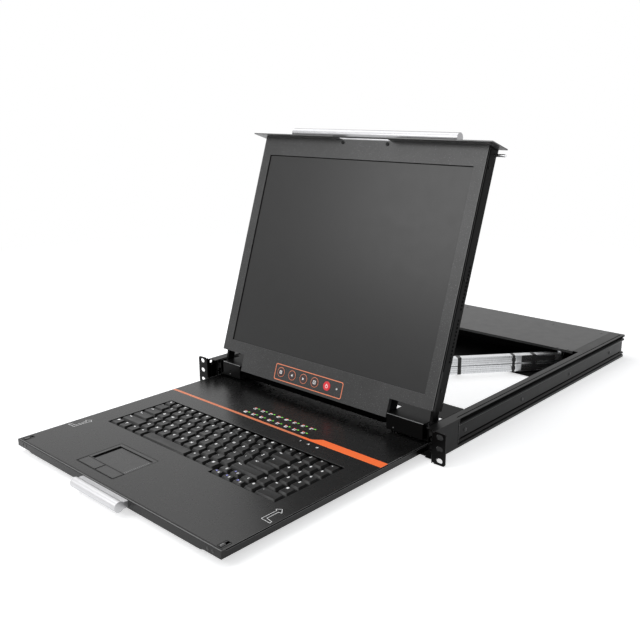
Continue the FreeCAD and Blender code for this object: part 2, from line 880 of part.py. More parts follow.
def lcd_rear_cover():
    """Rear shell with side vents, hinge slots and guides for the locking pins."""
    front = -bezel_depth - shell_gap
    back = -panel_thickness
    inset = 0.2
    sheet = panel_sheet
    shell = panel_prism(panel_outline(inset), back, front)
    hollow = panel_prism(panel_outline(inset + sheet), back + sheet, front + 1)
    cover = shell.cut(hollow)
    slots = []
    for sign in (-1, 1):
        low, high = sorted((sign * (hinge_arm_inner - seat_gap),
                            sign * (hinge_arm_inner + hinge_arm_sheet + seat_gap)))
        slots.append(slab(low, high, back + sheet - seat_gap, front - 1, -1, 3))
        low, high = sorted((sign * (module_half - 3), sign * (module_half + 1)))
        for step in range(vent_count):
            v = vent_start + step * vent_pitch
            slots.append(slab(low, high, vent_w - vent_size / 2, vent_w + vent_size / 2,
                              v - vent_size / 2, v + vent_size / 2))
    cover = cover.cut(slots)
    wall = module_half - inset - sheet
    guides = []
    for sign in (-1, 1):
        low, high = sorted((sign * (wall - lock_pin_guide), sign * wall))
        guides.append(slab(low, high, back + sheet, lock_pin_w + 4.2, lock_pin_v - 4.5, lock_pin_v + 4.5))
    cover = joined([cover] + guides)
    bore = rod_x(lock_pin_radius + running_clearance, -module_half - 1, module_half + 1,
                 -panel_face - lock_pin_w, panel_drop + lock_pin_v)
    return cover.cut(bore)


def lcd_screen():
    """Display module behind the window."""
    w0 = -panel_sheet - module_depth
    return slab(-screen_width / 2 - module_border, screen_width / 2 + module_border, w0,
                -panel_sheet, screen_bottom - module_border,
                screen_bottom + screen_height + module_border)


def lcd_driver_board():
    """Display driver board on spacers behind the module."""
    back = -panel_sheet - module_depth
    left = driver_board_inset - module_half
    right = left + driver_board_width
    low = screen_bottom + driver_board_rise
    high = low + driver_board_height
    pieces = [slab(left, right, back - 2.5 * board_sheet, back - 1.5 * board_sheet, low, high)]
    for u in (left + board_post, right - board_post):
        for v in (low + board_post, high - board_post):
            pieces.append(slab(u - board_post / 2, u + board_post / 2, back - 1.5 * board_sheet, back,
                               v - board_post / 2, v + board_post / 2))
    u = (left + right) / 2
    v = (low + high) / 2
    pieces.append(slab(u, u + chip_width, back - 2.5 * board_sheet - board_gap, back - 2.5 * board_sheet,
                       v, v + chip_width))
    return joined(pieces)


def lcd_front_cover():
    """Plate across the panel's top edge: the unit's front when it is closed."""
    v0 = panel_height
    points = [
        (-cover_half_width, cover_rear), (cover_half_width, cover_rear), (cover_half_width, cover_front),
        (cover_notch_mouth, cover_front), (cover_notch_root, cover_front - cover_notch_depth),
        (-cover_notch_root, cover_front - cover_notch_depth), (-cover_notch_mouth, cover_front),
        (-cover_half_width, cover_front),
    ]
    plate = outline_z([(u, -panel_face - w) for u, w in points], panel_drop + v0,
                      panel_drop + v0 + cover_sheet)
    lip = slab(-module_half, module_half, cover_rear, cover_rear + cover_sheet, v0 - cover_lip, v0)
    return joined([plate, lip])


def bulb_bar(radius, foot_depth, half_length):
    """Handle bar along X: a round bulb on a neck and a ribbed foot, standing on the origin along +Z."""
    centre = foot_depth + radius - 0.7
    bulb = rod_x(radius, -half_length, half_length, 0, centre)
    neck = box(-half_length, half_length, -handle_neck_width / 2, handle_neck_width / 2, 0, centre)
    foot = box(-half_length, half_length, -handle_foot / 2, handle_foot / 2, 0, foot_depth)
    ribs = min(handle_rib_count, int(foot_depth / handle_rib_pitch - 0.5))
    for index in range(ribs):
        z = (index + 0.75) * handle_rib_pitch
        for side in (-1, 1):
            y = side * handle_foot / 2
            foot = foot.cut(box(-half_length, half_length, y - handle_rib_groove, y + handle_rib_groove,
                                z, z + handle_rib_groove))
    return joined([bulb, neck, foot])


def lcd_handle():
    """Long bar on the front cover."""
    bar = bulb_bar(lcd_handle_radius, lcd_handle_foot_depth, lcd_handle_half)
    bar.translate(Vector(0, -panel_face - lcd_handle_w, panel_drop + panel_height + cover_sheet))
    return bar


def osd_board():
    """Button board inside the tab, with the power light."""
    left = osd_button_u[0] - osd_board_edge
    right = osd_led_u + osd_board_edge
    face = -panel_sheet - osd_board_depth
    board = slab(left, right, face - osd_board_sheet, face, osd_v - osd_board_edge, osd_v + osd_board_edge)
    light = panel_pin(osd_led_radius, face, 0.1, osd_led_u, osd_v)
    posts = []
    for u in ((osd_button_u[0] + osd_button_u[1]) / 2, (osd_button_u[3] + osd_button_u[4]) / 2):
        posts.append(panel_pin(osd_post_radius, face, -panel_sheet, u, osd_v))
    return joined([board, light] + posts)


def osd_button(u):
    """Round push button with a collar behind the bezel."""
    collar_top = -panel_sheet - seat_gap
    cap = panel_pin(osd_button_radius, collar_top, osd_button_proud, u, osd_v)

    def rim(edge):
        bounds = edge.BoundBox
        return abs(bounds.YMin + panel_face + osd_button_proud) < 1e-6 and bounds.YLength < 1e-6

    cap = cap.makeChamfer(osd_chamfer, [edge for edge in cap.Edges if rim(edge)])
    collar = panel_pin(osd_button_radius + osd_collar + seat_gap, collar_top - osd_collar_depth,
                       collar_top, u, osd_v)
    return joined([cap, collar])


def lcd_screws():
    """Rubber stops beside the cover's notch and screws in the panel's sides."""
    solids = []
    for u in (stop_inset - cover_notch_root, cover_notch_root - stop_inset):
        solids.append(panel_pin(stop_radius, 0, stop_height, u, panel_height - stop_drop))
    for sign in (-1, 1):
        low, high = sorted((sign * (module_half - 0.2), sign * (module_half + side_screw_head)))
        for v in (side_screw_low, panel_height / 2, panel_height - side_screw_low):
            y = side_screw_depth - panel_face
            solids.append(rod_x(side_screw_radius, low, high, y, panel_drop + v))
    return solids


def hinge_arm():
    """Right-hand steel arm: eye on the hinge axis, blade inside the rear cover."""
    x0 = hinge_arm_inner
    x1 = x0 + hinge_arm_sheet
    back = panel_thickness - panel_face - panel_sheet
    front = bezel_depth + shell_gap + 1 - panel_face
    eye = rod_x(hinge_eye, x0, x1, 0, 0)
    blade = outline_x([(-hinge_eye, 0), (back, 0), (back, hinge_arm_rise), (front, hinge_arm_rise),
                       (front, panel_drop), (-hinge_eye, 6)], x0, x1)
    arm = joined([eye, blade])
    return arm.cut(rod_x(hinge_pin_radius + running_clearance, x0 - 1, x1 + 1, 0, 0))


def lock_pin():
    """Right-hand locking pin with a tapered tip."""
    y = -panel_face - lock_pin_w
    z = panel_drop + lock_pin_v
    tail = module_half - 1.6 - lock_pin_guide - lock_pin_tail
    pin = rod_x(lock_pin_radius, tail, module_half + lock_pin_reach, y, z)

    def tip(edge):
        return abs(edge.BoundBox.XMin - module_half - lock_pin_reach) < 1e-6

    return pin.makeChamfer(1.0, [edge for edge in pin.Edges if tip(edge)])


# --- keyboard tray --------------------------------------------------------
def key_field(grow):
    """Outline of the keyboard opening, grown by a margin."""
    return [
        (key_left - grow, key_rear + grow), (key_left - grow, key_front - grow),
        (key_split - grow, key_front - grow), (key_split - grow, key_front_low - grow),
        (key_right + grow, key_front_low - grow), (key_right + grow, key_rear + grow),
    ]


def light_places():
    """Centres of the port lights and the status lights."""
    places = []
    for y in light_rows:
        for column in range(light_columns):
            places.append((light_first_x + column * light_pitch, y))
    return places + [(x, status_y) for x in status_lights]


def light_box(x, y, grow, z0, z1):
    """One light window, grown by a margin."""
    return box(x - light_length / 2 - grow, x + light_length / 2 + grow, y - light_width / 2 - grow,
               y + light_width / 2 + grow, z0, z1)


def tray_cover():
    """Top sheet of the tray with folded skirts and all its openings."""
    low = tray_top - tray_sheet
    top = box(-module_half, module_half, tray_front, tray_rear, low, tray_top)
    pieces = [top]
    pieces.append(box(module_half - tray_sheet, module_half, tray_front, tray_rear, tray_bottom, low))
    pieces.append(box(-module_half, -module_half + tray_sheet, tray_front, tray_rear, tray_bottom, low))
    front = [
        (-module_half, tray_top), (-module_half, tray_bottom), (-skirt_step_outer, tray_bottom),
        (-skirt_step_inner, tray_bottom - skirt_step), (skirt_step_inner, tray_bottom - skirt_step),
        (skirt_step_outer, tray_bottom), (module_half, tray_bottom), (module_half, tray_top),
    ]
    pieces.append(outline_y(front, tray_front, tray_front + tray_sheet))
    cover = joined(pieces)

    def nose(edge):
        y = edge.BoundBox.YMin
        z = edge.BoundBox.ZMin
        return along_x(edge) and abs(y - tray_front) < 1e-6 and abs(z - tray_top) < 1e-6

    cover = round_edges(cover, 0.9, nose)
    cuts = [outline_z(key_field(0), low - 1, tray_top + 1)]
    cuts.append(rounded_box(pad_left, pad_right, pad_front, pad_rear, low - 1, tray_top + 1, 2.0))
    for x in (-latch_x, latch_x):
        cuts.append(box(x - latch_slot_width / 2, x + latch_slot_width / 2, latch_y - latch_slot_length / 2,
                        latch_y + latch_slot_length / 2, low - 1, tray_top + 1))
    for x, y in light_places():
        cuts.append(light_box(x, y, running_clearance * 2, low - 1, tray_top + 1))
    return cover.cut(cuts)


def tray_pan():
    """Bottom sheet of the tray with a rear wall and the cable arm's bracket."""
    inner = module_half - tray_sheet
    floor = box(-inner, inner, tray_front + tray_sheet, tray_rear, tray_bottom, pan_top)
    rear = box(-inner, inner, tray_rear - pan_sheet, tray_rear, tray_bottom, tray_top - tray_sheet)
    tongue_top = tray_arm_bottom - seat_gap
    tongue_low = tongue_top - tray_sheet
    x0 = arm_front_x - arm_bracket_half
    x1 = arm_front_x + arm_bracket_half
    drop = box(x0, x1, tray_rear - pan_sheet, tray_rear, tongue_low, tray_bottom)
    tongue = box(x0, x1, tray_rear - pan_sheet, arm_front_y + arm_tongue_reach, tongue_low, tongue_top)
    stud = rod_z(arm_pin_radius, tongue_top, tray_arm_bottom + arm_height - 0.5, arm_front_x, arm_front_y)
    return joined([floor, rear, drop, tongue, stud])


def tray_handle():
    """Short bar at the middle of the tray's front."""
    bar = bulb_bar(tray_handle_radius, handle_foot_depth, tray_handle_half)
    bar.rotate(Vector(0, 0, 0), Vector(1, 0, 0), 90)
    bar.translate(Vector(0, tray_front, tray_top - tray_handle_drop - handle_foot / 2))
    return bar


def tray_screws():
    """Screw heads at the corners of the front skirt."""
    heads = []
    for setback in tray_screw_setbacks:
        head = rod_y(tray_screw_radius, tray_front - tray_screw_head, tray_front, latch_x - setback,
                     (tray_top + tray_bottom) / 2)
        heads += both_sides(head)
    return heads


def key_rows():
    """Every key as (group, x0, x1, y0, y1), before the gap between keys is taken off."""
    keys = []
    left = key_left + key_margin
    rear = key_rear - key_margin
    front = rear - function_row_depth
    small = (main_keys_end - left) / function_key_count
    for index in range(function_key_count):
        keys.append(("function_keys", left + index * small, left + (index + 1) * small, front, rear))
    for lead_keys, count in zip(row_lead_keys, row_key_count):
        lead = lead_keys * key_pitch
        rear = front
        front = rear - row_pitch
        edges = [left, left + lead] + [left + lead + (index + 1) * key_pitch for index in range(count)]
        edges.append(main_keys_end)
        for x0, x1 in zip(edges, edges[1:]):
            keys.append(("typing_keys", x0, x1, front, rear))
    rear = front
    front = rear - row_pitch
    x = left
    for index in range(4):
        keys.append(("typing_keys", x, x + key_pitch, front, rear))
        x += key_pitch
    space_end = key_split - arrow_block_gap - 3 * key_pitch
    keys.append(("space_bar", x, space_end, front, rear))
    x = space_end
    for index in range(3):
        keys.append(("typing_keys", x, x + key_pitch, front, rear))
        x += key_pitch
    low = key_front_low + key_margin
    split = (rear + low) / 2
    arrow_pitch = (main_keys_end - key_split) / 3
    for column in range(3):
        x = key_split + column * arrow_pitch
        keys.append(("arrow_keys", x, x + arrow_pitch, split, rear))
        keys.append(("arrow_keys", x, x + arrow_pitch, low, split))
    pad_left_edge = main_keys_end + key_margin
    pad_pitch = (key_right - key_margin - pad_left_edge) / 3
    rear = key_rear - key_margin
    pad_row = (rear - low) / 6
    for row in range(6):
        front = rear - pad_row
        edges = [pad_left_edge + column * pad_pitch for column in range(4)]
        if row == 5:
            edges.pop(2)
        for x0, x1 in zip(edges, edges[1:]):
            keys.append(("numpad_keys", x0, x1, front, rear))
        rear = front
    return keys


def key_cap(x0, x1, y0, y1):
    """Tapered key with a square stem."""
    gap = key_gap / 2
    top = gap + key_taper
    low = key_top - key_body
    cap = Part.makeWedge(x0 + gap, low, gap - y1, top - y1, x0 + top, x1 - gap, key_top, -y0 - gap,
                         -y0 - top, x1 - top)
    cap.rotate(Vector(0, 0, 0), Vector(1, 0, 0), 90)
    return cap.fuse(stem_box((x0 + x1) / 2, (y0 + y1) / 2, 0, base_top - stem_reach, low))


def stem_box(x, y, grow, z0, z1):
    """Key stem, or its hole when grown."""
    reach = key_stem / 2 + grow
    return box(x - reach, x + reach, y - reach, y + reach, z0, z1)


def keyboard_base(keys):
    """Guide plate under the keys, with a hole for each stem."""
    floor = pan_top
    base = outline_z(key_field(-0.5), floor, base_top)
    holes = [stem_box((x0 + x1) / 2, (y0 + y1) / 2, seat_gap, floor - 1, base_top + 1)
             for _, x0, x1, y0, y1 in keys]
    return base.cut(holes)


def touchpad():
    """Framed touch surface with a pocket for its two buttons."""
    g = running_clearance * 4
    top = tray_top - 0.1
    frame = rounded_box(pad_left + g, pad_right - g, pad_front + g, pad_rear - g, pan_top, top,
                        pad_corner)
    line = pad_front + pad_button_depth + pad_divider
    surface = box(pad_left + pad_border, pad_right - pad_border / 2, line, pad_rear - pad_border,
                  top - pad_recess, top + 1)
    pocket = box(pad_left + pad_rim, pad_right - pad_rim, pad_front + pad_rim,
                 pad_front + pad_rim + pad_button_depth, pan_top + pad_floor, top + 1)
    return frame.cut(surface).cut(pocket)


def pad_button(side):
    """One touchpad button, side -1 or +1."""
    middle = (pad_left + pad_right) / 2
    outer = pad_left + pad_rim + seat_gap if side < 0 else pad_right - pad_rim - seat_gap
    inner = middle + side * seat_gap / 2
    x0, x1 = sorted((outer, inner))
    low = pan_top + pad_floor + pad_travel + 0.1
    return box(x0, x1, pad_front + pad_rim + seat_gap, pad_front + pad_rim + pad_button_depth - seat_gap,
               low, tray_top)


def port_indicators():
    """Light windows on their board under the tray cover."""
    board = box(light_first_x - 8, status_lights[-1] + 8, status_y - 6, light_rows[0] + 6,
                light_board_z - 1.6, light_board_z)
    lenses = [light_box(x, y, 0, light_board_z, tray_top + light_proud) for x, y in light_places()]
    posts = []
    for x in (light_first_x - 5, status_lights[-1] + 5):
        for y in (status_y - 3, light_rows[0] + 3):
            posts.append(box(x - 1.5, x + 1.5, y - 1.5, y + 1.5, light_board_z, tray_top - tray_sheet))
    return joined([board] + lenses + posts)


def tray_latch():
    """Right-hand release lever in its slot."""
    y0 = latch_y - latch_slot_length / 2 + 0.5
    reach = latch_slot_width / 2 - seat_gap
    lever = box(latch_x - reach, latch_x + reach, y0, y0 + latch_length, tray_top - 4, tray_top + 0.5)
    foot = box(latch_x - reach - 2, latch_x + reach + 2, y0, y0 + latch_length, tray_top - 4,
               tray_top - tray_sheet - seat_gap)
    return joined([lever, foot])


# --- cable arms -----------------------------------------------------------
def elbow_place():
    """Elbow of a cable arm at rest: where the two bars meet, left of both ends."""
    reach_p = hypot(rear_arm_length, arm_offset)
    reach_a = hypot(front_arm_length, arm_offset)
    dx = arm_front_x - arm_pivot_x
    dy = arm_front_y - arm_pivot_y
    span = hypot(dx, dy)
    along = (reach_p ** 2 - reach_a ** 2 + span ** 2) / (2 * span)
    across = sqrt(reach_p ** 2 - along ** 2)
    ux, uy = dx / span, dy / span
    first = (arm_pivot_x + along * ux + across * uy, arm_pivot_y + along * uy - across * ux)
    second = (arm_pivot_x + along * ux - across * uy, arm_pivot_y + along * uy + across * ux)
    return min(first, second)


def arm_angles():
    """Turn of the rear and the front bar from folded to rest, in degrees."""
    ex, ey = elbow_place()
    rear = degrees(atan2(arm_pivot_y - ey, arm_pivot_x - ex) - atan2(arm_offset, rear_arm_length))
    front = degrees(atan2(arm_front_y - ey, arm_front_x - ex) - atan2(-arm_offset, front_arm_length))
    return rear, front


def arm_bar(length, z0, is_rear):
    """U-section bar along +X, elbow pin at the origin, body on the +Y side."""
    z1 = z0 + arm_height
    near = arm_half_gap
    far = arm_half_gap + arm_width
    middle = arm_offset
    end = length + arm_width / 2
    body = box(arm_body_start, length, near, far, z0, z1)
    body = body.fuse(rod_z(arm_width / 2, z0, z1, length, middle)).removeSplitter()
    hollow = box(arm_body_start - 1, end + 1, near + arm_sheet, far + 1, z0 + arm_sheet, z1 - arm_sheet)
    body = body.cut(hollow)
    body = body.cut(box(length - arm_window_start, length - arm_window_end, near - 1, near + arm_sheet + 1,
                        z0 + arm_sheet + 1, z1 - arm_sheet - 1))
    if is_rear:
        levels = ((z0, z0 + arm_sheet), (z1 - arm_sheet, z1))
    else:
        levels = ((z0 + arm_tongue, z0 + arm_tongue + arm_sheet),
                  (z1 - arm_tongue - arm_sheet, z1 - arm_tongue))
    pieces = [body]
    for low, high in levels:
        eye = rod_z(elbow_eye, low, high, 0, 0)
        strip = box(0, arm_body_start + 9, -1, elbow_eye, low, high)
        strip = strip.cut(box(arm_body_start - 1.2, length, -2, near, low - 1, high + 1))
        pieces += [eye, strip]
    bar = joined(pieces)
    if is_rear:
        bar = bar.fuse(rod_z(elbow_pin_radius, z0, z1, 0, 0)).removeSplitter()
    else:
        bar = bar.cut(rod_z(elbow_pin_radius + running_clearance, z0 - 1, z1 + 1, 0, 0))
    return bar.cut(rod_z(arm_pin_radius + running_clearance, z0 - 1, z1 + 1, length, middle))


def arm_cable(length, z0):
    """Cable bundle lying in a bar, with two straps round bar and cable."""
    z1 = z0 + arm_height
    near = arm_half_gap
    far = arm_half_gap + arm_width
    cable = box(arm_body_start + cable_start_gap, length - cable_end_gap, near + arm_sheet + seat_gap,
                far - cable_wall_gap, z0 + cable_margin, z1 - cable_margin)

    def long_edge(edge):
        return along_x(edge)

    cable = round_edges(cable, cable_round, long_edge)
    solids = [cable]
    gap = running_clearance
    for s in (length * strap_share, length - arm_window_start - strap_width - strap_end_gap):
        outer = box(s, s + strap_width, near - gap - strap_thickness + 0.2, far + gap + strap_thickness,
                    z0 - gap - strap_thickness, z1 + gap + strap_thickness)
        inner = box(s - 1, s + strap_width + 1, near - gap, far + gap, z0 - gap, z1 + gap)
        solids.append(outer.cut(inner))
    return solids


def placed_arm(shapes, is_rear):
    """Carry a bar's pieces from the folding frame to the resting elbow."""
    ex, ey = elbow_place()
    rear, front = arm_angles()
    out = []
    for shape in shapes:
        piece = shape.copy()
        if not is_rear:
            piece = piece.mirror(Vector(0, 0, 0), Vector(0, 1, 0))
        piece.rotate(Vector(0, 0, 0), Vector(0, 0, 1), rear if is_rear else front)
        piece.translate(Vector(ex, ey, 0))
        out.append(piece)
    return out


def arm_pivot_stubs():
    """Fixed pivot pads under the lower arm and over the upper one."""
    x0 = arm_pivot_x - arm_bracket_half
    x1 = arm_pivot_x + arm_bracket_half
    y0 = arm_pivot_y - arm_post_radius
    y1 = arm_pivot_y + arm_bracket_half
    low_top = tray_arm_bottom - seat_gap
    low = joined([box(x0, x1, y0, y1, box_floor, box_floor + pan_sheet),
                  rod_z(arm_post_radius, box_floor, low_top, arm_pivot_x, arm_pivot_y)])
    roof = rail_top - box_sheet
    high_low = lcd_arm_bottom + arm_height + seat_gap
    high = joined([box(x0, x1, y0, y1, roof - pan_sheet, roof),
                   rod_z(arm_post_radius, high_low, roof, arm_pivot_x, arm_pivot_y)])
    return [low, high]


def lcd_arm_stud():
    """Stud under the screen carriage's deck that carries the upper arm."""
    top = hinge_z + panel_thickness - panel_face - carriage_sheet
    collar = rod_z(arm_collar_radius, lcd_arm_bottom + arm_height + seat_gap, top, arm_front_x, arm_front_y)
    pin = rod_z(arm_pin_radius, lcd_arm_bottom, top, arm_front_x, arm_front_y)
    return joined([collar, pin])


# --- build ----------------------------------------------------------------
nodes = []
os.makedirs("parts", exist_ok=True)

rail = side_rail()
save("right_rail", rail)
save("left_rail", mirrored(rail))
ear = rack_ear()
save("right_rack_ear", ear)
save("left_rack_ear", mirrored(ear))
save("front_brace", front_brace())
save("rear_box_base", rear_box_base())
save("rear_box_cover", rear_box_cover())
save("rear_box_boards", rear_box_boards())
sockets = [device_socket(x, z) for x, z in socket_places()]
save("rear_sockets", sockets + [power_inlet(), switch_frame()])
save("power_switch", power_switch())
save("chassis_screws", chassis_screws())
save("arm_pivot_stubs", arm_pivot_stubs())

save("lcd_slide_channels", both_sides(channel(lcd_slide_z)))
save("tray_slide_channels", both_sides(channel(tray_slide_z)))
save("lcd_runners", both_sides(runner(lcd_slide_z, carriage_rear - 1)))
save("tray_runners", both_sides(runner(tray_slide_z, tray_rear)))
right_glides = glides(lcd_slide_z, carriage_rear - 1)
save("lcd_glides", right_glides + [mirrored(block) for block in right_glides])
right_glides = glides(tray_slide_z, tray_rear)
save("tray_glides", right_glides + [mirrored(block) for block in right_glides])

save("lcd_carriage_plate", joined([carriage_plate(), lcd_arm_stud()]))
save("hinge_pins", hinge_pins())
save("hinge_arms", [leaned(piece) for piece in both_sides(hinge_arm())])

save("lcd_bezel", leaned(lcd_bezel()))
save("lcd_rear_cover", leaned(lcd_rear_cover()))
save("lcd_screen", leaned(lcd_screen()))
save("lcd_driver_board", leaned(lcd_driver_board()))
save("lcd_front_cover", leaned(lcd_front_cover()))
save("lcd_handle", leaned(lcd_handle()))
save("osd_board", leaned(osd_board()))
save("lcd_screws", [leaned(piece) for piece in lcd_screws()])
for number, u in enumerate(osd_button_u, 1):
    save("osd_button_" + str(number), leaned(osd_button(u)))
pin = lock_pin()
save("right_locking_pin", leaned(pin))
save("left_locking_pin", leaned(mirrored(pin)))

save("tray_cover", tray_cover())
save("tray_pan", tray_pan())
save("tray_handle", tray_handle())
save("tray_screws", tray_screws())
all_keys = key_rows()
save("keyboard_base", keyboard_base(all_keys))
for group in ("function_keys", "typing_keys", "space_bar", "arrow_keys", "numpad_keys"):
    caps = [key_cap(x0, x1, y0, y1) for name, x0, x1, y0, y1 in all_keys if name == group]
    save(group, caps)
save("touchpad", touchpad())
save("touchpad_left_button", pad_button(-1))
save("touchpad_right_button", pad_button(1))
save("port_indicators", port_indicators())
latch = tray_latch()
save("right_tray_latch", latch)
save("left_tray_latch", mirrored(latch))

for name, z0 in (("lcd", lcd_arm_bottom), ("tray", tray_arm_bottom)):
    rear_bar = arm_bar(rear_arm_length, z0, True)
    front_bar = arm_bar(front_arm_length, z0, False)
    save(name + "_rear_arm", placed_arm([rear_bar], True))
    save(name + "_front_arm", placed_arm([front_bar], False))
    save(name + "_rear_arm_cable", placed_arm(arm_cable(rear_arm_length, z0), True))
    save(name + "_front_arm_cable", placed_arm(arm_cable(front_arm_length, z0), False))

print(len(nodes), "nodes")
print("elbow", elbow_place(), "turns", arm_angles(), "pivot y", arm_pivot_y)
print("lock hole", lock_hole_place(), "tray front stowed", tray_front_stowed)
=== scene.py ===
import json
from math import cos, pi, radians, sin, tau
import bmesh
import bpy
from mathutils import Matrix, Vector


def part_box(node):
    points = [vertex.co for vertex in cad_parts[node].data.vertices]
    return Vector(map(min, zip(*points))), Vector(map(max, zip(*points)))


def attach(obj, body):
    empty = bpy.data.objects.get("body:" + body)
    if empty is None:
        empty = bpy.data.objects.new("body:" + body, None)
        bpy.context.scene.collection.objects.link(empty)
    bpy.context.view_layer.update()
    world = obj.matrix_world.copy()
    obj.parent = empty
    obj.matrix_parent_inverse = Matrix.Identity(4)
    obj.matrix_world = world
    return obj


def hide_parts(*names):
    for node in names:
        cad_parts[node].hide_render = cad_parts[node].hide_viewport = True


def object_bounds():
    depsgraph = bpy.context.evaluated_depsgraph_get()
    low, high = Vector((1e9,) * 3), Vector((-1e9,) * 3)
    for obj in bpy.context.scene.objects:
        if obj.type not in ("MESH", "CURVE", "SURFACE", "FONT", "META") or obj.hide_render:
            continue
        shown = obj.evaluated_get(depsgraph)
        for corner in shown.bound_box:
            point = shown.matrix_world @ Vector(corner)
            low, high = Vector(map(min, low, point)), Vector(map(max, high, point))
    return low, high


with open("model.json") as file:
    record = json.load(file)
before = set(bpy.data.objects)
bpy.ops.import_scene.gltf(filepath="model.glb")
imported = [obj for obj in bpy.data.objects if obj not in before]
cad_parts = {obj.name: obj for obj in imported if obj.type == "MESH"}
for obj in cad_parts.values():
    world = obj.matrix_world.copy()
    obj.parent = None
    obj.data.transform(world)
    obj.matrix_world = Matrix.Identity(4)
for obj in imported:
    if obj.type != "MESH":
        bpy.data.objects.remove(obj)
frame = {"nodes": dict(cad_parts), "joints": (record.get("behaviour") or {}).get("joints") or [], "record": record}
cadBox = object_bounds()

mm = 0.001
nodes = frame["nodes"]
record = frame["record"]
joints = {joint["name"]: joint for joint in frame["joints"]}
hingePoint = Vector(joints["lcd_tilt"]["pos_m"])

# the panel leans back about the hinge; its drawing plane is across, up the face, out of the face
panelSet = dict(lean=18.0, drop=0.020, face=0.016)
lean = radians(panelSet["lean"])
upFace = Vector((0, sin(lean), cos(lean)))
outFace = Vector((0, -cos(lean), sin(lean)))
panelOrigin = hingePoint + upFace * panelSet["drop"] + outFace * panelSet["face"]
panelPlace = Matrix.Translation(panelOrigin) @ Matrix((
    (1, upFace.x, outFace.x, 0), (0, upFace.y, outFace.y, 0), (0, upFace.z, outFace.z, 0), (0, 0, 0, 1)))
toPanel = panelPlace.inverted()
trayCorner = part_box("tray_cover")[1]
trayPlace = Matrix.Translation((0, 0, trayCorner.z))
halfWidth = trayCorner.x


def sidePlace(side):
    # drawing plane on a flank: x runs down or behind the face, y stays
    return Matrix.Translation((side * halfWidth, 0, 0)) @ Matrix.Rotation(pi / 2, 4, "Y")


def fill(tree, node, inputs):
    # a number or colour is set on the node's input, anything else is linked to it
    for key, value in inputs.items():
        if isinstance(value, (int, float, tuple)):
            node.inputs[key].default_value = value
        else:
            tree.links.new(value, node.inputs[key])
    return node


def addNode(tree, kind, inputs={}, **values):
    node = tree.nodes.new("ShaderNode" + kind)
    for key, value in values.items():
        setattr(node, key, value)
    return fill(tree, node, inputs)


def noiseNode(tree, vector, scale, detail, rough):
    return addNode(tree, "TexNoise", {"Vector": vector, "Scale": scale, "Detail": detail,
                                      "Roughness": rough}).outputs["Fac"]


def mapRange(tree, value, low, high, toLow=0.0, toHigh=1.0):
    return addNode(tree, "MapRange", {"Value": value, "From Min": low, "From Max": high, "To Min": toLow,
                                      "To Max": toHigh}).outputs["Result"]


def mathNode(tree, operation, first, second=0.0):
    return addNode(tree, "Math", {0: first, 1: second}, operation=operation).outputs[0]


def mixColor(tree, factor, first, second):
    return addNode(tree, "Mix", {0: factor, 6: first, 7: second}, data_type="RGBA").outputs[2]


groupSockets = {
    "INPUT": dict(Colour="Color", Tint="Color", FlankShadeColour="Color", Stretch="Vector", Scale="Float",
                  Roughness="Float", FirstShare="Float", SecondShare="Float", ShadeLimit="Float", FlankShade="Float"),
    "OUTPUT": dict(Colour="Color", Roughness="Float", Metallic="Float", Height="Float"),
}
# noises as scale, detail and roughness; layers as a noise and its span; rough also has what the span becomes
groupSet = {
    # powder coat: soft cloudiness, then light specks on a fine pebble
    "powderCoat": dict(fine=(2.0, 0.6), noises=dict(cloud=(14.0, 3.0, 0.55), wipe=(60.0, 4.0, 0.6)),
                       layers=(("cloud", 0.35, 0.7), ("fine", 0.60, 0.74)),
                       rough=("wipe", 0.3, 0.7, -0.02, 0.02), upright=(0.75, 0.45)),
    # brushed or drawn metal: long scratches along one direction, then tarnish
    "brushedMetal": dict(fine=(3.0, 0.6), noises=dict(tarnish=(35.0, 3.0, 0.6)),
                         layers=(("fine", 0.35, 0.65), ("tarnish", 0.5, 0.8)),
                         rough=("fine", 0.3, 0.7, -0.06, 0.08)),
    # moulded plastic: worn patches, then spark-eroded grain
    "mouldedPlastic": dict(fine=(2.0, 0.55), noises=dict(patch=(90.0, 3.0, 0.5)),
                           layers=(("patch", 0.45, 0.75), ("fine", 0.55, 0.75)),
                           rough=("patch", 0.3, 0.7, 0.05, -0.08)),
}


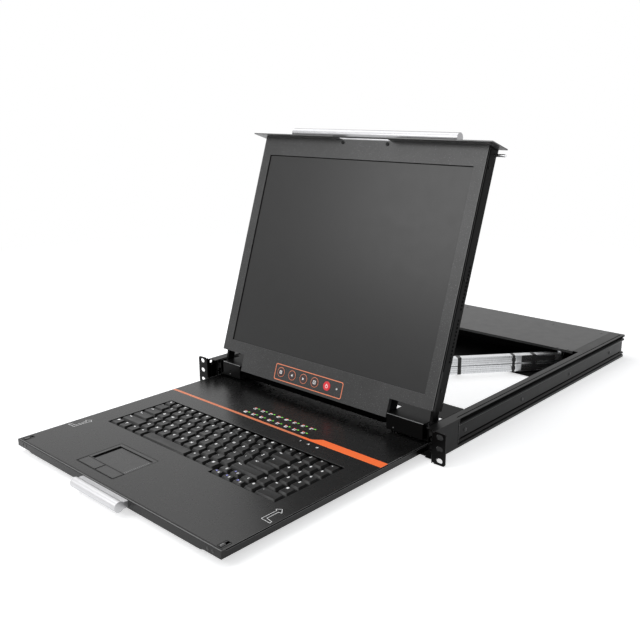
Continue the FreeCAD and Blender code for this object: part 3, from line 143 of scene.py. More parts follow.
def makeGroup(name):
    # a colour tinted by two layers of noise, a roughness that varies, and fine relief
    s = groupSet[name]
    group = bpy.data.node_groups.new(name, "ShaderNodeTree")
    for way, sockets in groupSockets.items():
        for label, kind in sockets.items():
            group.interface.new_socket(label, in_out=way, socket_type="NodeSocket" + kind)
    given = group.nodes.new("NodeGroupInput").outputs
    place = addNode(group, "TexCoord").outputs["Object"]
    stretched = addNode(group, "VectorMath", {0: place, 1: given["Stretch"]}, operation="MULTIPLY").outputs[0]
    noises = {label: noiseNode(group, place, *look) for label, look in s["noises"].items()}
    noises["fine"] = noiseNode(group, stretched, given["Scale"], *s["fine"])
    made = {"Colour": given["Colour"], "Height": noises["fine"]}
    for share, (noise, low, high) in zip(("FirstShare", "SecondShare"), s["layers"]):
        mask = mathNode(group, "MULTIPLY", mapRange(group, noises[noise], low, high), given[share])
        made["Colour"] = mixColor(group, mask, made["Colour"], given["Tint"])
    if "upright" in s:
        # painted shade on the flanks: upright faces, when the flank input is on, and all that lies beyond the side
        # limit take the dark flank colour and turn metallic so they read darker
        away = mathNode(group, "ABSOLUTE", addNode(group, "SeparateXYZ", {0: place}).outputs["X"])
        normal = addNode(group, "NewGeometry").outputs["True Normal"]
        level = mathNode(group, "ABSOLUTE", addNode(group, "SeparateXYZ", {0: normal}).outputs["Z"])
        upright = mathNode(group, "MULTIPLY", mapRange(group, level, *s["upright"]), given["FlankShade"])
        beyond = mathNode(group, "GREATER_THAN", away, given["ShadeLimit"])
        made["Metallic"] = mathNode(group, "MAXIMUM", beyond, upright)
        made["Colour"] = mixColor(group, made["Metallic"], made["Colour"], given["FlankShadeColour"])
    noise, *span = s["rough"]
    made["Roughness"] = mathNode(group, "ADD", given["Roughness"], mapRange(group, noises[noise], *span))
    fill(group, group.nodes.new("NodeGroupOutput"), made)
    return group


groups = {name: makeGroup(name) for name in groupSet}
finishes = {}
# how fine the scratches are along each axis
brush = dict(
    across=(25.0, 3000.0, 3000.0), level=(60.0, 60.0, 1500.0), upright=(900.0, 900.0, 60.0),
    turned=(300.0, 300.0, 300.0), pin=(2000.0, 60.0, 60.0))


def rgba(color):
    return (*color, 1.0) if isinstance(color, tuple) else (color, color, color, 1.0)


def addFinish(name, group, color, tint, roughness, shares, bump, scale=1.0, stretch=(1.0, 1.0, 1.0),
              sideLimit=10.0, flank=None, depth=0.0001, metallic=0.0, lacquer=0.0, specular=0.5, glow=0.0):
    material = bpy.data.materials.new(name)
    material.use_nodes = True
    tree = material.node_tree
    made = addNode(tree, "Group", node_tree=groups[group])
    fill(tree, made, {
        "Colour": rgba(color), "Tint": rgba(tint), "Roughness": roughness, "Scale": scale, "Stretch": stretch,
        "FirstShare": shares[0], "SecondShare": shares[1], "ShadeLimit": sideLimit,
        "FlankShade": 0.0 if flank is None else 1.0, "FlankShadeColour": rgba(flank or 0.012)})
    made = made.outputs
    relief = addNode(tree, "Bump", {"Strength": bump, "Distance": depth, "Height": made["Height"]})
    shader = fill(tree, tree.nodes["Principled BSDF"], {
        "Base Color": made["Colour"], "Roughness": made["Roughness"], "Normal": relief.outputs["Normal"],
        "Metallic": made["Metallic"] if group == "powderCoat" else metallic, "Coat Weight": lacquer,
        "Specular IOR Level": specular})
    if glow:
        fill(tree, shader, {"Emission Color": made["Colour"], "Emission Strength": glow})
    finishes[name] = material


def coat(name, color, speck, roughness, amount=0.3, cloud=0.1, pebble=1500.0, bump=0.12, specular=0.5, **more):
    shares = (cloud, amount)
    addFinish(name, "powderCoat", color, speck, roughness, shares, bump, pebble, specular=specular, **more)


def metal(name, color, dark, roughness, stretch, contrast=0.35, tarnish=0.25, bump=0.06):
    addFinish(name, "brushedMetal", color, dark, roughness, (contrast, tarnish), bump, stretch=brush[stretch],
              depth=0.00005, metallic=1.0)


def plastic(name, color, worn, roughness, grain=2200.0, wear=0.2, bump=0.08, grainShare=0.25, **more):
    addFinish(name, "mouldedPlastic", color, worn, roughness, (wear, grainShare), bump, grain, **more)


# powder coats: colour, specks, roughness, then amount, cloud, pebble, bump and specular
# a flank colour lays painted shade on a coat's upright faces; a side limit lays it on all of the coat beyond that
# distance from the middle, here the panel's sides
coat("chassisCoat", 0.003, 0.010, 0.36, 0.2, 0.1, bump=0.08, specular=0.15, flank=0.008)
coat("flangeCoat", 0.070, 0.14, 0.34, 0.3, 0.1, specular=0.7)
coat("pocketCoat", 0.002, 0.010, 0.42, 0.2, 0.1, bump=0.08, specular=0.06, flank=0.010)
coat("trayCoat", 0.0010, 0.004, 0.27, 0.2, 0.04, 1800.0, 0.004, 0.42, flank=0.028)
coat("bezelCoat", 0.027, 0.30, 0.34, 0.45, 0.05, 850.0, 0.16, 0.42, sideLimit=0.2047)
coat("shellCoat", 0.006, 0.018, 0.50, 0.3, 0.05, 1100.0, 0.15, 0.06)
coat("hoodCoat", 0.012, 0.03, 0.42, 0.2, 0.12, 1600.0, 0.10)
coat("screenFilm", 0.007, 0.010, 0.30, 0.1, 0.02, 4000.0, 0.01, 0.40)
# metals: colour, scratches, roughness, brushing, then contrast
metal("blackZinc", 0.045, 0.02, 0.36, "level")
metal("zincPlate", (0.62, 0.63, 0.64), (0.40, 0.41, 0.43), 0.32, "level")
metal("armSteel", (0.74, 0.75, 0.76), (0.52, 0.53, 0.55), 0.30, "upright", 0.25)
# darker copy of the arm steel for the grooves in the arm bars: painted shade in the grooves
metal("grooveShadeSteel", (0.30, 0.30, 0.31), (0.20, 0.20, 0.21), 0.40, "upright", 0.25)
metal("pinSteel", (0.76, 0.76, 0.77), (0.50, 0.50, 0.52), 0.22, "pin", 0.25)
metal("screwSteel", (0.60, 0.60, 0.61), (0.35, 0.35, 0.36), 0.30, "turned")
metal("handleMetal", (0.62, 0.62, 0.63), (0.46, 0.46, 0.47), 0.34, "across", 0.30)
# darker copy of the handle metal for the panel's handle: painted shade
metal("handleMetalShaded", (0.40, 0.40, 0.41), (0.31, 0.31, 0.32), 0.30, "across", 0.30)
# plastics, inks and lights: colour, worn colour, roughness, then grain, wear and bump
# near-black for painted shade in gaps and under edges, and for dark seams and holes
plastic("shadeSeamAndHoleBlack", 0.001, 0.003, 0.70, 1200.0, specular=0.01)
# dark for grooves and the panel's screws; round the touchpad it is painted shade in the gap
plastic("grooveDark", 0.010, 0.014, 0.55, 1500.0, specular=0.15)
# pale, light and bright finishes for painted highlights on edges and glints
plastic("dimHighlight", 0.085, 0.06, 0.40, 1500.0, specular=0.4)
plastic("softHighlight", 0.16, 0.12, 0.40, 1500.0, specular=0.4)
plastic("brightHighlight", 0.30, 0.22, 0.40, 1500.0, specular=0.4)
plastic("lensDark", 0.006, 0.012, 0.30, specular=0.3)
plastic("lensWhite", (0.75, 0.75, 0.72), (0.6, 0.6, 0.58), 0.25, lacquer=0.4)
plastic("screwBlack", 0.02, 0.07, 0.34, 900.0, 0.3, 0.05)
plastic("blackPlastic", 0.018, 0.05, 0.45)
plastic("padPlastic", 0.010, 0.030, 0.32, 2600.0)
plastic("keyPlastic", 0.006, 0.022, 0.38, 2400.0, 0.25, 0.08, specular=0.30)
# near-black copy of the key plastic for the cap sides and for the base between the keys: painted shade
plastic("keyShade", 0.0015, 0.004, 0.5, 2400.0, 0.2, 0.08, specular=0.10)
plastic("boardGreen", (0.03, 0.14, 0.06), (0.06, 0.24, 0.10), 0.35, 700.0, 0.4)
plastic("buttonDark", (0.045, 0.022, 0.022), (0.08, 0.04, 0.04), 0.35)
# the red button glows a little: painted light that makes it brighter than the lamps do
plastic("buttonRed", (0.82, 0.030, 0.045), (0.85, 0.10, 0.09), 0.35, glow=0.2)
plastic("socketPlastic", (0.03, 0.035, 0.09), (0.06, 0.07, 0.15), 0.42)
plastic("cableRubber", 0.010, 0.03, 0.55, 1200.0, 0.3, 0.2)
# the inks glow a little: painted light that makes the print brighter than the lamps do
plastic("inkWhite", 0.85, 0.70, 0.45, 3000.0, 0.1, glow=0.35)
plastic("inkGrey", 0.22, 0.16, 0.45, 3000.0, 0.1)
plastic("inkBlue", (0.30, 0.31, 0.80), (0.22, 0.22, 0.60), 0.45, 3000.0, 0.1, glow=0.3)
plastic("inkOrange", (0.90, 0.15, 0.030), (0.94, 0.20, 0.05), 0.42, 3000.0, 0.25, glow=0.28)
# a paler, less saturated orange for the narrow part of the stripe
plastic("inkOrangePale", (0.74, 0.20, 0.08), (0.76, 0.28, 0.14), 0.42, 3000.0, 0.25, glow=0.12)
plastic("inkPaleOrange", (0.92, 0.27, 0.13), (0.95, 0.36, 0.20), 0.42, 3000.0, 0.25, glow=0.2)
plastic("ledGreen", (0.20, 0.70, 0.06), (0.2, 0.8, 0.2), 0.3, lacquer=0.3, glow=0.5)
plastic("ledRed", (0.80, 0.06, 0.03), (0.85, 0.12, 0.08), 0.3, lacquer=0.3, glow=0.4)
print("finishes:", len(finishes))

slotFinish = {
    "black_coat": "chassisCoat", "zinc_steel": "zincPlate", "steel_screw": "screwSteel",
    "black_screw": "screwBlack", "pin_steel": "pinSteel", "arm_steel": "armSteel",
    "handle_aluminium": "handleMetal", "nylon": "blackPlastic", "black_plastic": "blackPlastic",
    "key_plastic": "keyPlastic", "screen_face": "screenFilm", "board_green": "boardGreen",
    "button_dark": "buttonDark", "button_red": "buttonRed", "light_lens": "lensWhite",
    "socket_plastic": "socketPlastic", "cable_black": "cableRubber",
}
# nodes that differ from the rest of their slot
nodeFinish = {node: finish for finish, names in {
    "trayCoat": "tray_cover tray_pan", "bezelCoat": "lcd_bezel", "shellCoat": "lcd_rear_cover",
    "flangeCoat": "lcd_front_cover", "pocketCoat": "lcd_carriage_plate", "hoodCoat": "rear_box_cover",
    "chassisCoat": "hinge_arms", "grooveDark": "lcd_screws", "keyShade": "keyboard_base",
    "blackZinc": "lcd_slide_channels tray_slide_channels lcd_runners tray_runners",
    "blackPlastic": "rear_sockets", "handleMetalShaded": "lcd_handle", "lensDark": "port_indicators",
    "padPlastic": "touchpad touchpad_left_button touchpad_right_button",
}.items() for node in names.split()}
for part in record["subparts"]:
    name = part["node"]
    finish = finishes[nodeFinish.get(name, slotFinish[part["material_slot"]])]
    for slot in nodes[name].material_slots:
        slot.material = finish
print("frame nodes dressed:", len(record["subparts"]))


def newObject(name, data):
    obj = bpy.data.objects.new(name, data)
    bpy.context.scene.collection.objects.link(obj)
    return obj


def bakeMesh(name, bm):
    mesh = bpy.data.meshes.new(name)
    bm.to_mesh(mesh)
    bm.free()
    return mesh


def meshPiece(name, bm, finish, body, place=Matrix(), smooth=False):
    # one named piece with its finish and the body it rides
    bmesh.ops.recalc_face_normals(bm, faces=bm.faces)
    bmesh.ops.transform(bm, matrix=place, verts=bm.verts)
    mesh = bakeMesh(name, bm)
    if smooth:
        mesh.shade_smooth()
    mesh.materials.append(finishes[finish])
    obj = newObject(name, mesh)
    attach(obj, body)
    return obj


def addMesh(bm, mesh, place):
    # one more copy of a mesh
    copied = mesh.copy()
    copied.transform(place)
    bm.from_mesh(copied)
    bpy.data.meshes.remove(copied)


def scaled(outline):
    return [(x * mm, y * mm) for x, y in outline]


def addWall(bm, first, second):
    # quads between two loops of as many corners
    count = len(first)
    for index in range(count):
        after = (index + 1) % count
        bm.faces.new((first[index], first[after], second[after], second[index]))


def addPrism(bm, outline, low, high, place=Matrix()):
    bottom, top = ([bm.verts.new(place @ Vector((x, y, z))) for x, y in outline] for z in (low, high))
    bm.faces.new(reversed(bottom))
    bm.faces.new(top)
    addWall(bm, bottom, top)


def addRing(bm, outer, inner, low, high, place=Matrix()):
    # band between two outlines of as many points
    loops = [[bm.verts.new(place @ Vector((x, y, z))) for x, y in line] for line, z in
             ((outer, low), (outer, high), (inner, high), (inner, low))]
    for first, second in zip(loops, loops[1:] + loops[:1]):
        addWall(bm, first, second)


def roundedOutline(x0, x1, y0, y1, radius, steps=5):
    points = []
    for cx, cy, turn in ((x1 - radius, y1 - radius, 0), (x0 + radius, y1 - radius, 1),
                         (x0 + radius, y0 + radius, 2), (x1 - radius, y0 + radius, 3)):
        for step in range(steps + 1):
            angle = (turn + step / steps) * pi / 2
            points.append((cx + radius * cos(angle), cy + radius * sin(angle)))
    return points


def boxOutline(low, high, grow, corner, steps=5):
    # a box seen from above, grown on every side and rounded, both in millimetres
    g = grow * mm
    return roundedOutline(low.x - g, high.x + g, low.y - g, high.y + g, corner * mm, steps)


def circleOutline(x, y, radius, count=28):
    turns = [tau * i / count for i in range(count)]
    return scaled([(x + radius * cos(turn), y + radius * sin(turn)) for turn in turns])


def plainOutline(x0, x1, y0, y1):
    return scaled([(x0, y0), (x1, y0), (x1, y1), (x0, y1)])


def addStrip(bm, x0, x1, y0, y1, low, high, place=Matrix(), corner=0.3):
    # a bar in millimetres; its corners take a share of the narrower side
    outline = roundedOutline(x0 * mm, x1 * mm, y0 * mm, y1 * mm, min(x1 - x0, y1 - y0) * corner * mm, 2)
    addPrism(bm, outline, low * mm, high * mm, place)


def pieceOf(add, shapes, name, finish, body, place=Matrix(), smooth=False):
    # one piece made of shapes of a kind: strips, rings or prisms
    bm = bmesh.new()
    for shape in shapes:
        add(bm, *shape)
    return meshPiece(name, bm, finish, body, place, smooth)


def islandBoxes(node):
    # lowest and highest corner of every separate solid in a node
    bm = bmesh.new()
    bm.from_mesh(nodes[node].data)
    bmesh.ops.remove_doubles(bm, verts=bm.verts, dist=1e-6)
    left, boxes = dict.fromkeys(bm.verts), []
    while left:
        found = [next(iter(left))]
        del left[found[0]]
        for vert in found:
            for edge in vert.link_edges:
                other = edge.other_vert(vert)
                if other in left:
                    del left[other]
                    found.append(other)
        boxes.append([Vector([pick(v.co[i] for v in found) for i in range(3)]) for pick in (min, max)])
    bm.free()
    return boxes


letterMeshes = {}


def addText(bm, text, size, spot, thick, bold=0.045):
    # a printed word as a thin solid, centred on its spot
    key = (text, size, thick, bold)
    if key not in letterMeshes:
        curve = bpy.data.curves.new("word", "FONT")
        look = dict(body=text, size=size * mm, align_x="CENTER", align_y="CENTER", extrude=thick * mm / 2,
                    offset=size * mm * bold, resolution_u=2)
        for label, value in look.items():
            setattr(curve, label, value)
        holder = newObject("word", curve)
        letterMeshes[key] = bpy.data.meshes.new_from_object(holder)
        bpy.data.objects.remove(holder)
    addMesh(bm, letterMeshes[key], Matrix.Translation(spot))


# millimetres; rounding holds each level of a cap as its inset past the taper and its depth below the top
keySet = dict(
    height=4.0, taper=2.0, sideLean=0.7, corner=1.0, topCorner=2.0, roundest=0.9,
    rounding=((-0.35, 0.35), (-0.1, 0.08), (0.4, 0.0), (1.8, 0.15), (3.4, 0.25)), crease=35.0, shadeFacing=0.6,
    rowStep=4.0, letter=4.8, wideLetter=4.0, right=3.7, wideRight=6.4, down=2.7, sunk=0.0975, ink=0.16,
    second=11.0, secondDown=0.4)


def addKey(bm, low, high):
    # tapered cap with a rounded rim and a shallow dish
    s = keySet
    levels = [(0.0, s["height"], s["corner"])]
    levels += [(s["taper"] + inset, depth, s["topCorner"]) for inset, depth in s["rounding"]]
    rings = []
    for inset, depth, radius in levels:
        room = min(high.x - low.x, high.y - low.y) / 2 - inset * mm
        side = (inset + s["sideLean"] if inset else inset) * mm
        ring = roundedOutline(low.x + side, high.x - side, low.y + inset * mm, high.y - inset * mm,
                              min(radius * mm, room * s["roundest"]), 3)
        rings.append([bm.verts.new((x, y, high.z - depth * mm)) for x, y in ring])
    for first, second in zip(rings, rings[1:]):
        addWall(bm, first, second)
    bm.faces.new(rings[-1])
    bm.faces.new(reversed(rings[0]))


def buildKeys():
    # caps in place of the plain keys; each node's boxes come back sorted into rows, rear row first
    s = keySet
    groups = {}
    for node in ("function_keys", "typing_keys", "space_bar", "arrow_keys", "numpad_keys"):
        body = node + "_group"
        bm = bmesh.new()
        rows = {}
        for low, high in islandBoxes(node):
            addKey(bm, low, high)
            rows.setdefault(round((low.y + high.y) / 2 / (s["rowStep"] * mm)), []).append((low, high))
        caps = meshPiece(node + "Caps", bm, "keyPlastic", body, smooth=True)
        caps.data.set_sharp_from_angle(angle=radians(s["crease"]))
        # faces turned left or right take the near-black side finish: painted shade on the cap sides
        caps.data.materials.append(finishes["keyShade"])
        for face in caps.data.polygons:
            face.material_index = 1 if abs(face.normal.x) > s["shadeFacing"] else 0
        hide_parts(node)
        ordered = [sorted(rows[key], key=lambda b: b[0].x) for key in sorted(rows, reverse=True)]
        groups[node] = (body, ordered)
    return groups


keyGroups = buildKeys()
print("keys built:", {name: [len(row) for row in rows] for name, (body, rows) in keyGroups.items()})

keyWords = {
    "function_keys": [["0"] + [str(i) for i in range(1, 13)] + ["#", "*", "+", "-"]],
    "typing_keys": [
        list("`1234567890-=") + ["<--"],
        ["--> "] + list("QWERTYUIOP[]\\"),
        ["^__ "] + list("ASDFGHJKL;'") + ["<-'"],
        ["^--- "] + list("ZXCVBNM,./") + ["^--- "],
        list("#%=++=#")],
    "arrow_keys": [["", "^", ""], list("<v>")],
    "numpad_keys": [list("/*-"), list("789"), list("456"), list("123"), list("+=#"), list("0.")],
}
arrowNumbers = "571423"


def buildLegends():
    # a letter at the rear left of each cap; the arrow caps also carry a number
    s = keySet
    for node, words in keyWords.items():
        body, rows = keyGroups[node]
        arrows = node == "arrow_keys"
        bm = bmesh.new()
        for row, labels in zip(rows, words):
            for (low, high), word in zip(row, labels):
                if word:
                    right = s["taper"] + s["right" if len(word) < 3 else "wideRight"]
                    spot = (low.x + right * mm, high.y - (s["taper"] + s["down"]) * mm, high.z - s["sunk"] * mm)
                    addText(bm, word, s["letter" if len(word) == 1 else "wideLetter"], spot, s["ink"])
        meshPiece(node + "Legends", bm, "inkBlue" if arrows else "inkWhite", body)
        if arrows:
            bm = bmesh.new()
            for (low, high), number in zip([box for row in rows for box in row], arrowNumbers):
                spot = (low.x + s["second"] * mm, (low.y + high.y) / 2 - s["secondDown"] * mm,
                        high.z - s["sunk"] * mm)
                addText(bm, number, s["wideLetter"], spot, s["ink"])
            meshPiece(node + "Numbers", bm, "inkWhite", body)


buildLegends()
print("legends printed")

stripeSet = dict(
    front=-84.0, rear=-79.2, wideRear=-69.8, slantStart=84.0, slantEnd=97.0, thick=0.05, edge=0.6, paleStop=14.0)


def buildStripe():
    # the orange stripe, paler on the narrow left part and widening on the right
    s = stripeSet
    right = halfWidth / mm - s["edge"]
    start = s["slantStart"] - s["paleStop"]
    wide = [(start, s["front"]), (right, s["front"]), (right, s["wideRear"]), (s["slantEnd"], s["wideRear"]),
            (s["slantStart"], s["rear"]), (start, s["rear"])]
    narrow = plainOutline(-right, start, s["front"], s["rear"])
    for name, outline, ink in (("trayStripeWide", scaled(wide), "inkOrange"),
                               ("trayStripeNarrow", narrow, "inkOrangePale")):
        pieceOf(addPrism, [(outline, 0, s["thick"] * mm)], name, ink, "tray", place=trayPlace)


buildStripe()


def insetOutline(outline, amount):
    # move every edge of a closed outline inwards by the same amount
    points = [Vector(p) for p in outline]
    corners = list(zip(points[-1:] + points[:-1], points, points[1:] + points[:1]))
    sign = 1 if sum(here.cross(after) for before, here, after in corners) > 0 else -1
    result = []
    for before, here, after in corners:
        first, second = (Vector((-way.y, way.x)).normalized() * sign for way in (here - before, after - here))
        middle = (first + second).normalized()
        result.append(tuple(here + middle * (amount / max(0.25, middle.dot(first)))))
    return result


arrowSet = dict(
    root=(186.1, -264.8), foot=(200.6, -265.8), heel=(200.0, -261.9), bend=(190.8, -260.2),
    neck=(190.8, -243.2), barb=(195.2, -242.4), tip=(189.2, -235.6), wing=(183.2, -240.0),
    shoulder=(186.3, -242.0), line=0.5, thick=0.05)


def buildReleaseArrows():
    # an outlined arrow that bends towards the tray's edge, beside each latch
    s = arrowSet
    outline = [s[key] for key in ("root", "foot", "heel", "bend", "neck", "barb", "tip", "wing", "shoulder")]
    inner = insetOutline(outline, s["line"])
    for side, name in ((-1, "releaseArrowLeft"), (1, "releaseArrowRight")):
        lines = [scaled([(side * x, y) for x, y in line]) for line in (outline, inner)]
        pieceOf(addRing, [(*lines, 0, s["thick"] * mm)], name, "inkWhite", "tray", place=trayPlace)


buildReleaseArrows()

# rows as first centre, pitch and centre line; bars as right, up, width and depth from a number
portSet = dict(
    columns=8, rows=((-50.5, 15.8, -53.9), (-52.8, 16.2, -70.9)), number=5.6, bold=0.09,
    red=(-2.0, 3.9, 3.6, 1.1), green=(5.2, 2.6, 3.0, 2.0), light=0.1, corner=0.4, lift=0.04, ink=0.1,
    status=((76.4, -91.6, "1"), (91.9, -92.4, "A"), (107.5, -92.7, "#")), statusSize=4.4)


def buildPortMarks():
    # sixteen port numbers; each has a red and a green light bar
    s = portSet
    numbers, reds, greens, marks = (bmesh.new() for index in range(4))
    z = s["lift"] * mm
    for row, (firstX, pitch, y) in enumerate(s["rows"]):
        for column in range(s["columns"]):
            x = firstX + column * pitch
            number = "%02d" % (column * 2 + 1 + row)
            addText(numbers, number, s["number"], (x * mm, y * mm, z), s["ink"], s["bold"])
            for bm, (right, up, width, depth) in ((reds, s["red"]), (greens, s["green"])):
                x0, y0 = x + right - width / 2, y + up - depth / 2
                bar = roundedOutline(x0, x0 + width, y0, y0 + depth, s["corner"], 2)
                addPrism(bm, scaled(bar), 0, s["light"] * mm)
    for x, y, mark in s["status"]:
        addText(marks, mark, s["statusSize"], (x * mm, y * mm, z), s["ink"])
    for name, bm, finish, slot in (("portNumbers", numbers, "inkWhite", "black_coat"),
                                   ("statusMarks", marks, "inkWhite", "black_coat"),
                                   ("portRedLights", reds, "ledRed", "light_lens"),
                                   ("portGreenLights", greens, "ledGreen", "light_lens")):
        meshPiece(name, bm, finish, "tray", trayPlace)


buildPortMarks()
print("tray printed")

# up is the buttons' centre line; marks stand on the button faces, a little proud
osdSet = dict(
    left=-82.0, right=53.2, low=-21.9, high=2.5, corner=3.0, innerCorner=0.7, line=1.2, ring=7.3,
    ringLine=1.0, thick=0.06, up=-9.2, face=0.62, proud=0.67, square={1: 2.3, 4: 2.6}, squareLine=0.9,
    squareCorners=(0.5, 0.3), dot=0.6, arrow={2: -1, 3: 1}, arrowBack=1.6, arrowTip=2.0, power=(2.6, 1.9),
    powerDrop=0.3, bar=(0.4, 0.2, 3.4), barLift=(0.63, 0.69))


def buildControls():
    # printed frame round the five buttons, rings round four, and a mark on each
    s = osdSet
    line = s["line"]
    outer = roundedOutline(s["left"], s["right"], s["low"], s["high"], s["corner"])
    inner = roundedOutline(s["left"] + line, s["right"] - line, s["low"] + line, s["high"] - line,
                           s["corner"] - line * s["innerCorner"])
    v, thick, face, proud = s["up"], s["thick"] * mm, s["face"] * mm, s["proud"] * mm
    pieceOf(addRing, [(scaled(outer), scaled(inner), 0, thick)], "controlOutline", "inkPaleOrange", "lcd_panel",
            place=panelPlace)
    for number in range(1, 6):
        low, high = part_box("osd_button_" + str(number))
        u = (toPanel @ ((low + high) / 2)).x / mm
        if number < 5:
            lines = [circleOutline(u, v, radius) for radius in (s["ring"], s["ring"] - s["ringLine"])]
            pieceOf(addRing, [(*lines, 0, thick)], "controlRing" + str(number), "inkPaleOrange", "lcd_panel",
                    place=panelPlace)
        bm = bmesh.new()
        if number in s["square"]:
            size, dot = s["square"][number], s["dot"]
            sizes = zip((size, size - s["squareLine"]), s["squareCorners"])
            lines = [scaled(roundedOutline(u - r, u + r, v - r, v + r, corner, 2)) for r, corner in sizes]
            addRing(bm, *lines, face, proud)
            addPrism(bm, plainOutline(u - dot, u + dot, v - dot, v + dot), face, proud)
        elif number in s["arrow"]:
            way, back, tip = s["arrow"][number], s["arrowBack"], s["arrowTip"]
            arrow = scaled([(u - way * back, v - tip), (u + way * tip, v), (u - way * back, v + tip)])
            addPrism(bm, arrow[::way], face, proud)
        else:
            rings = [circleOutline(u, v - s["powerDrop"], radius) for radius in s["power"]]
            addRing(bm, *rings, face, proud)
            half, low, high = s["bar"]
            bar = plainOutline(u - half, u + half, v + low, v + high)
            addPrism(bm, bar, *(z * mm for z in s["barLift"]))
        name, body = "controlMark" + str(number), "osd_key_" + str(number)
        meshPiece(name, bm, "inkWhite", body, panelPlace)


buildControls()
print("screen controls marked")

# pairs are front and rear, or from and to
traySet = dict(
    inset=0.1, line=0.6, thick=0.05, sides=(-330.0, 83.0), glint=(-71.0, -42.0), seam=(0.15, 1.3),
    hemHighlight=(1.4, 2.0), frontHalf=204.0, groove=(-334.0, -332.8), frontHighlight=(-335.8, -334.7), openHalf=171.0,
    openingHighlight=(-112.6, -112.1))


def buildTrayEdges():
    # painted highlights: pale lines along the top edges of the folded sheet and the keyboard opening's rear edge,
    # a pale line on each side face below the fold's dark seam, a light line along the front beside a dark groove,
    # and a bright glint on the right edge
    s = traySet
    right, line, thick, half = halfWidth / mm - s["inset"], s["line"], s["thick"], s["frontHalf"]
    edgeHighlights, dark = bmesh.new(), bmesh.new()
    for side in (-1, 1):
        x0, x1 = sorted((side * right, side * (right - line)))
        addStrip(edgeHighlights, x0, x1, *s["sides"], 0, thick, trayPlace)
        seam = trayPlace @ sidePlace(side)
        addStrip(dark, *s["seam"], *s["sides"], -thick, thick, seam)
        addStrip(edgeHighlights, *s["hemHighlight"], *s["sides"], -thick, thick, seam)
    addStrip(edgeHighlights, -s["openHalf"], s["openHalf"], *s["openingHighlight"], 0, thick, trayPlace)
    meshPiece("trayEdgeHighlights", edgeHighlights, "dimHighlight", "tray")
    for name, finish, strip in (
            ("trayFrontHighlight", "softHighlight", (-half, half, *s["frontHighlight"], 0, thick)),
            ("trayFrontGroove", "grooveDark", (-half, half, *s["groove"], 0, thick)),
            ("trayGlint", "brightHighlight", (right - line, right, *s["glint"], thick, thick * 2))):
        pieceOf(addStrip, [strip], name, finish, "tray", place=trayPlace)
    meshPiece("traySeams", dark, "shadeSeamAndHoleBlack", "tray")


buildTrayEdges()

padSet = dict(
    left=-84.0, right=-13.0, front=-302.0, rear=-259.0, floor=-6.1, shade=4.6, outline=0.6, thick=0.05,
    ticks=14, tick=(0.9, 3.6), tickX=-15.6, tickFront=-299.0, tickRear=-264.0,
    padGapShade=((0.2, 1.0), (-0.5, 0.6)), buttonGapShade=((-0.1, 0.8), (-0.75, 0.5)))


def buildPadMarks():
    # painted shade: a wide dark band along the left of the sunken touch surface and thin dark lines round it, and
    # dark rings in the gaps round the pad and its two buttons; also the pad's scroll scale
    s = padSet
    floor, thick = Matrix.Translation((0, 0, s["floor"] * mm)), s["thick"]
    left, right, front, rear, line = (s[key] for key in ("left", "right", "front", "rear", "outline"))
    strips = [(*bar, 0, thick) for bar in (
        (left, left + s["shade"], front, rear), (left, right, rear - line, rear),
        (left, right, front, front + line), (right - line, right, front, rear))]
    pieceOf(addStrip, strips, "padShade", "shadeSeamAndHoleBlack", "tray", floor)
    lines = [boxOutline(*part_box("touchpad"), grow, corner) for grow, corner in s["padGapShade"]]
    pieceOf(addRing, [(*lines, 0, thick * mm)], "padOuterGapShade", "grooveDark", "tray", trayPlace)
    width, length = s["tick"]
    x0, x1 = s["tickX"] - length / 2, s["tickX"] + length / 2
    step = (s["tickRear"] - s["tickFront"]) / (s["ticks"] - 1)
    centres = [s["tickFront"] + step * i for i in range(s["ticks"])]
    ticks = [(x0, x1, y - width / 2, y + width / 2, 0, thick) for y in centres]
    pieceOf(addStrip, ticks, "padScrollScale", "inkGrey", "tray", floor)
    for node, body in (("touchpad_left_button", "pad_left_button"),
                       ("touchpad_right_button", "pad_right_button")):
        low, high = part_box(node)
        lines = [boxOutline(low, high, grow, corner, 3) for grow, corner in s["buttonGapShade"]]
        rim = (*lines, high.z, high.z + thick * mm)
        pieceOf(addRing, [rim], node + "GapShade", "shadeSeamAndHoleBlack", body)


buildPadMarks()

# discs as across, up and radius
rimSet = dict(
    pockets=((137.0, 196.5), (-196.5, -157.0)), front=11.8, top=19.1, wide=1.8, thick=0.05,
    rivets=((148.8, 1.9, 0.8), (-180.1, 1.7, 0.8)), rivetDeep=0.4, mark=(-179.8, 7.3, 0.9), markDeep=0.2)


def buildPocketRims():
    # painted highlight along the top edge, rivet heads drawn in the same highlight colour, and a dark screw hole
    # on the front of each carriage pocket
    s = rimSet
    rimHighlights, dark = bmesh.new(), bmesh.new()
    for x0, x1 in s["pockets"]:
        addStrip(rimHighlights, x0, x1, s["front"], s["front"] + s["wide"], s["top"], s["top"] + s["thick"])
    facing = Matrix.Translation((0, s["front"] * mm, 0)) @ Matrix.Rotation(pi / 2, 4, "X")
    for disc in s["rivets"]:
        addPrism(rimHighlights, circleOutline(*disc, 16), 0, s["rivetDeep"] * mm, facing)
    addPrism(dark, circleOutline(*s["mark"], 16), 0, s["markDeep"] * mm, facing)
    meshPiece("pocketRimHighlights", rimHighlights, "brightHighlight", "lcd_carriage")
    meshPiece("pocketHole", dark, "shadeSeamAndHoleBlack", "lcd_carriage")


buildPocketRims()

latchSet = dict(
    travel=5.0, gap=0.3, line=0.6, thick=0.06, corner=0.8, glint=(0.9, 1.8, 5.5), foot=3.0, footUp=0.6)


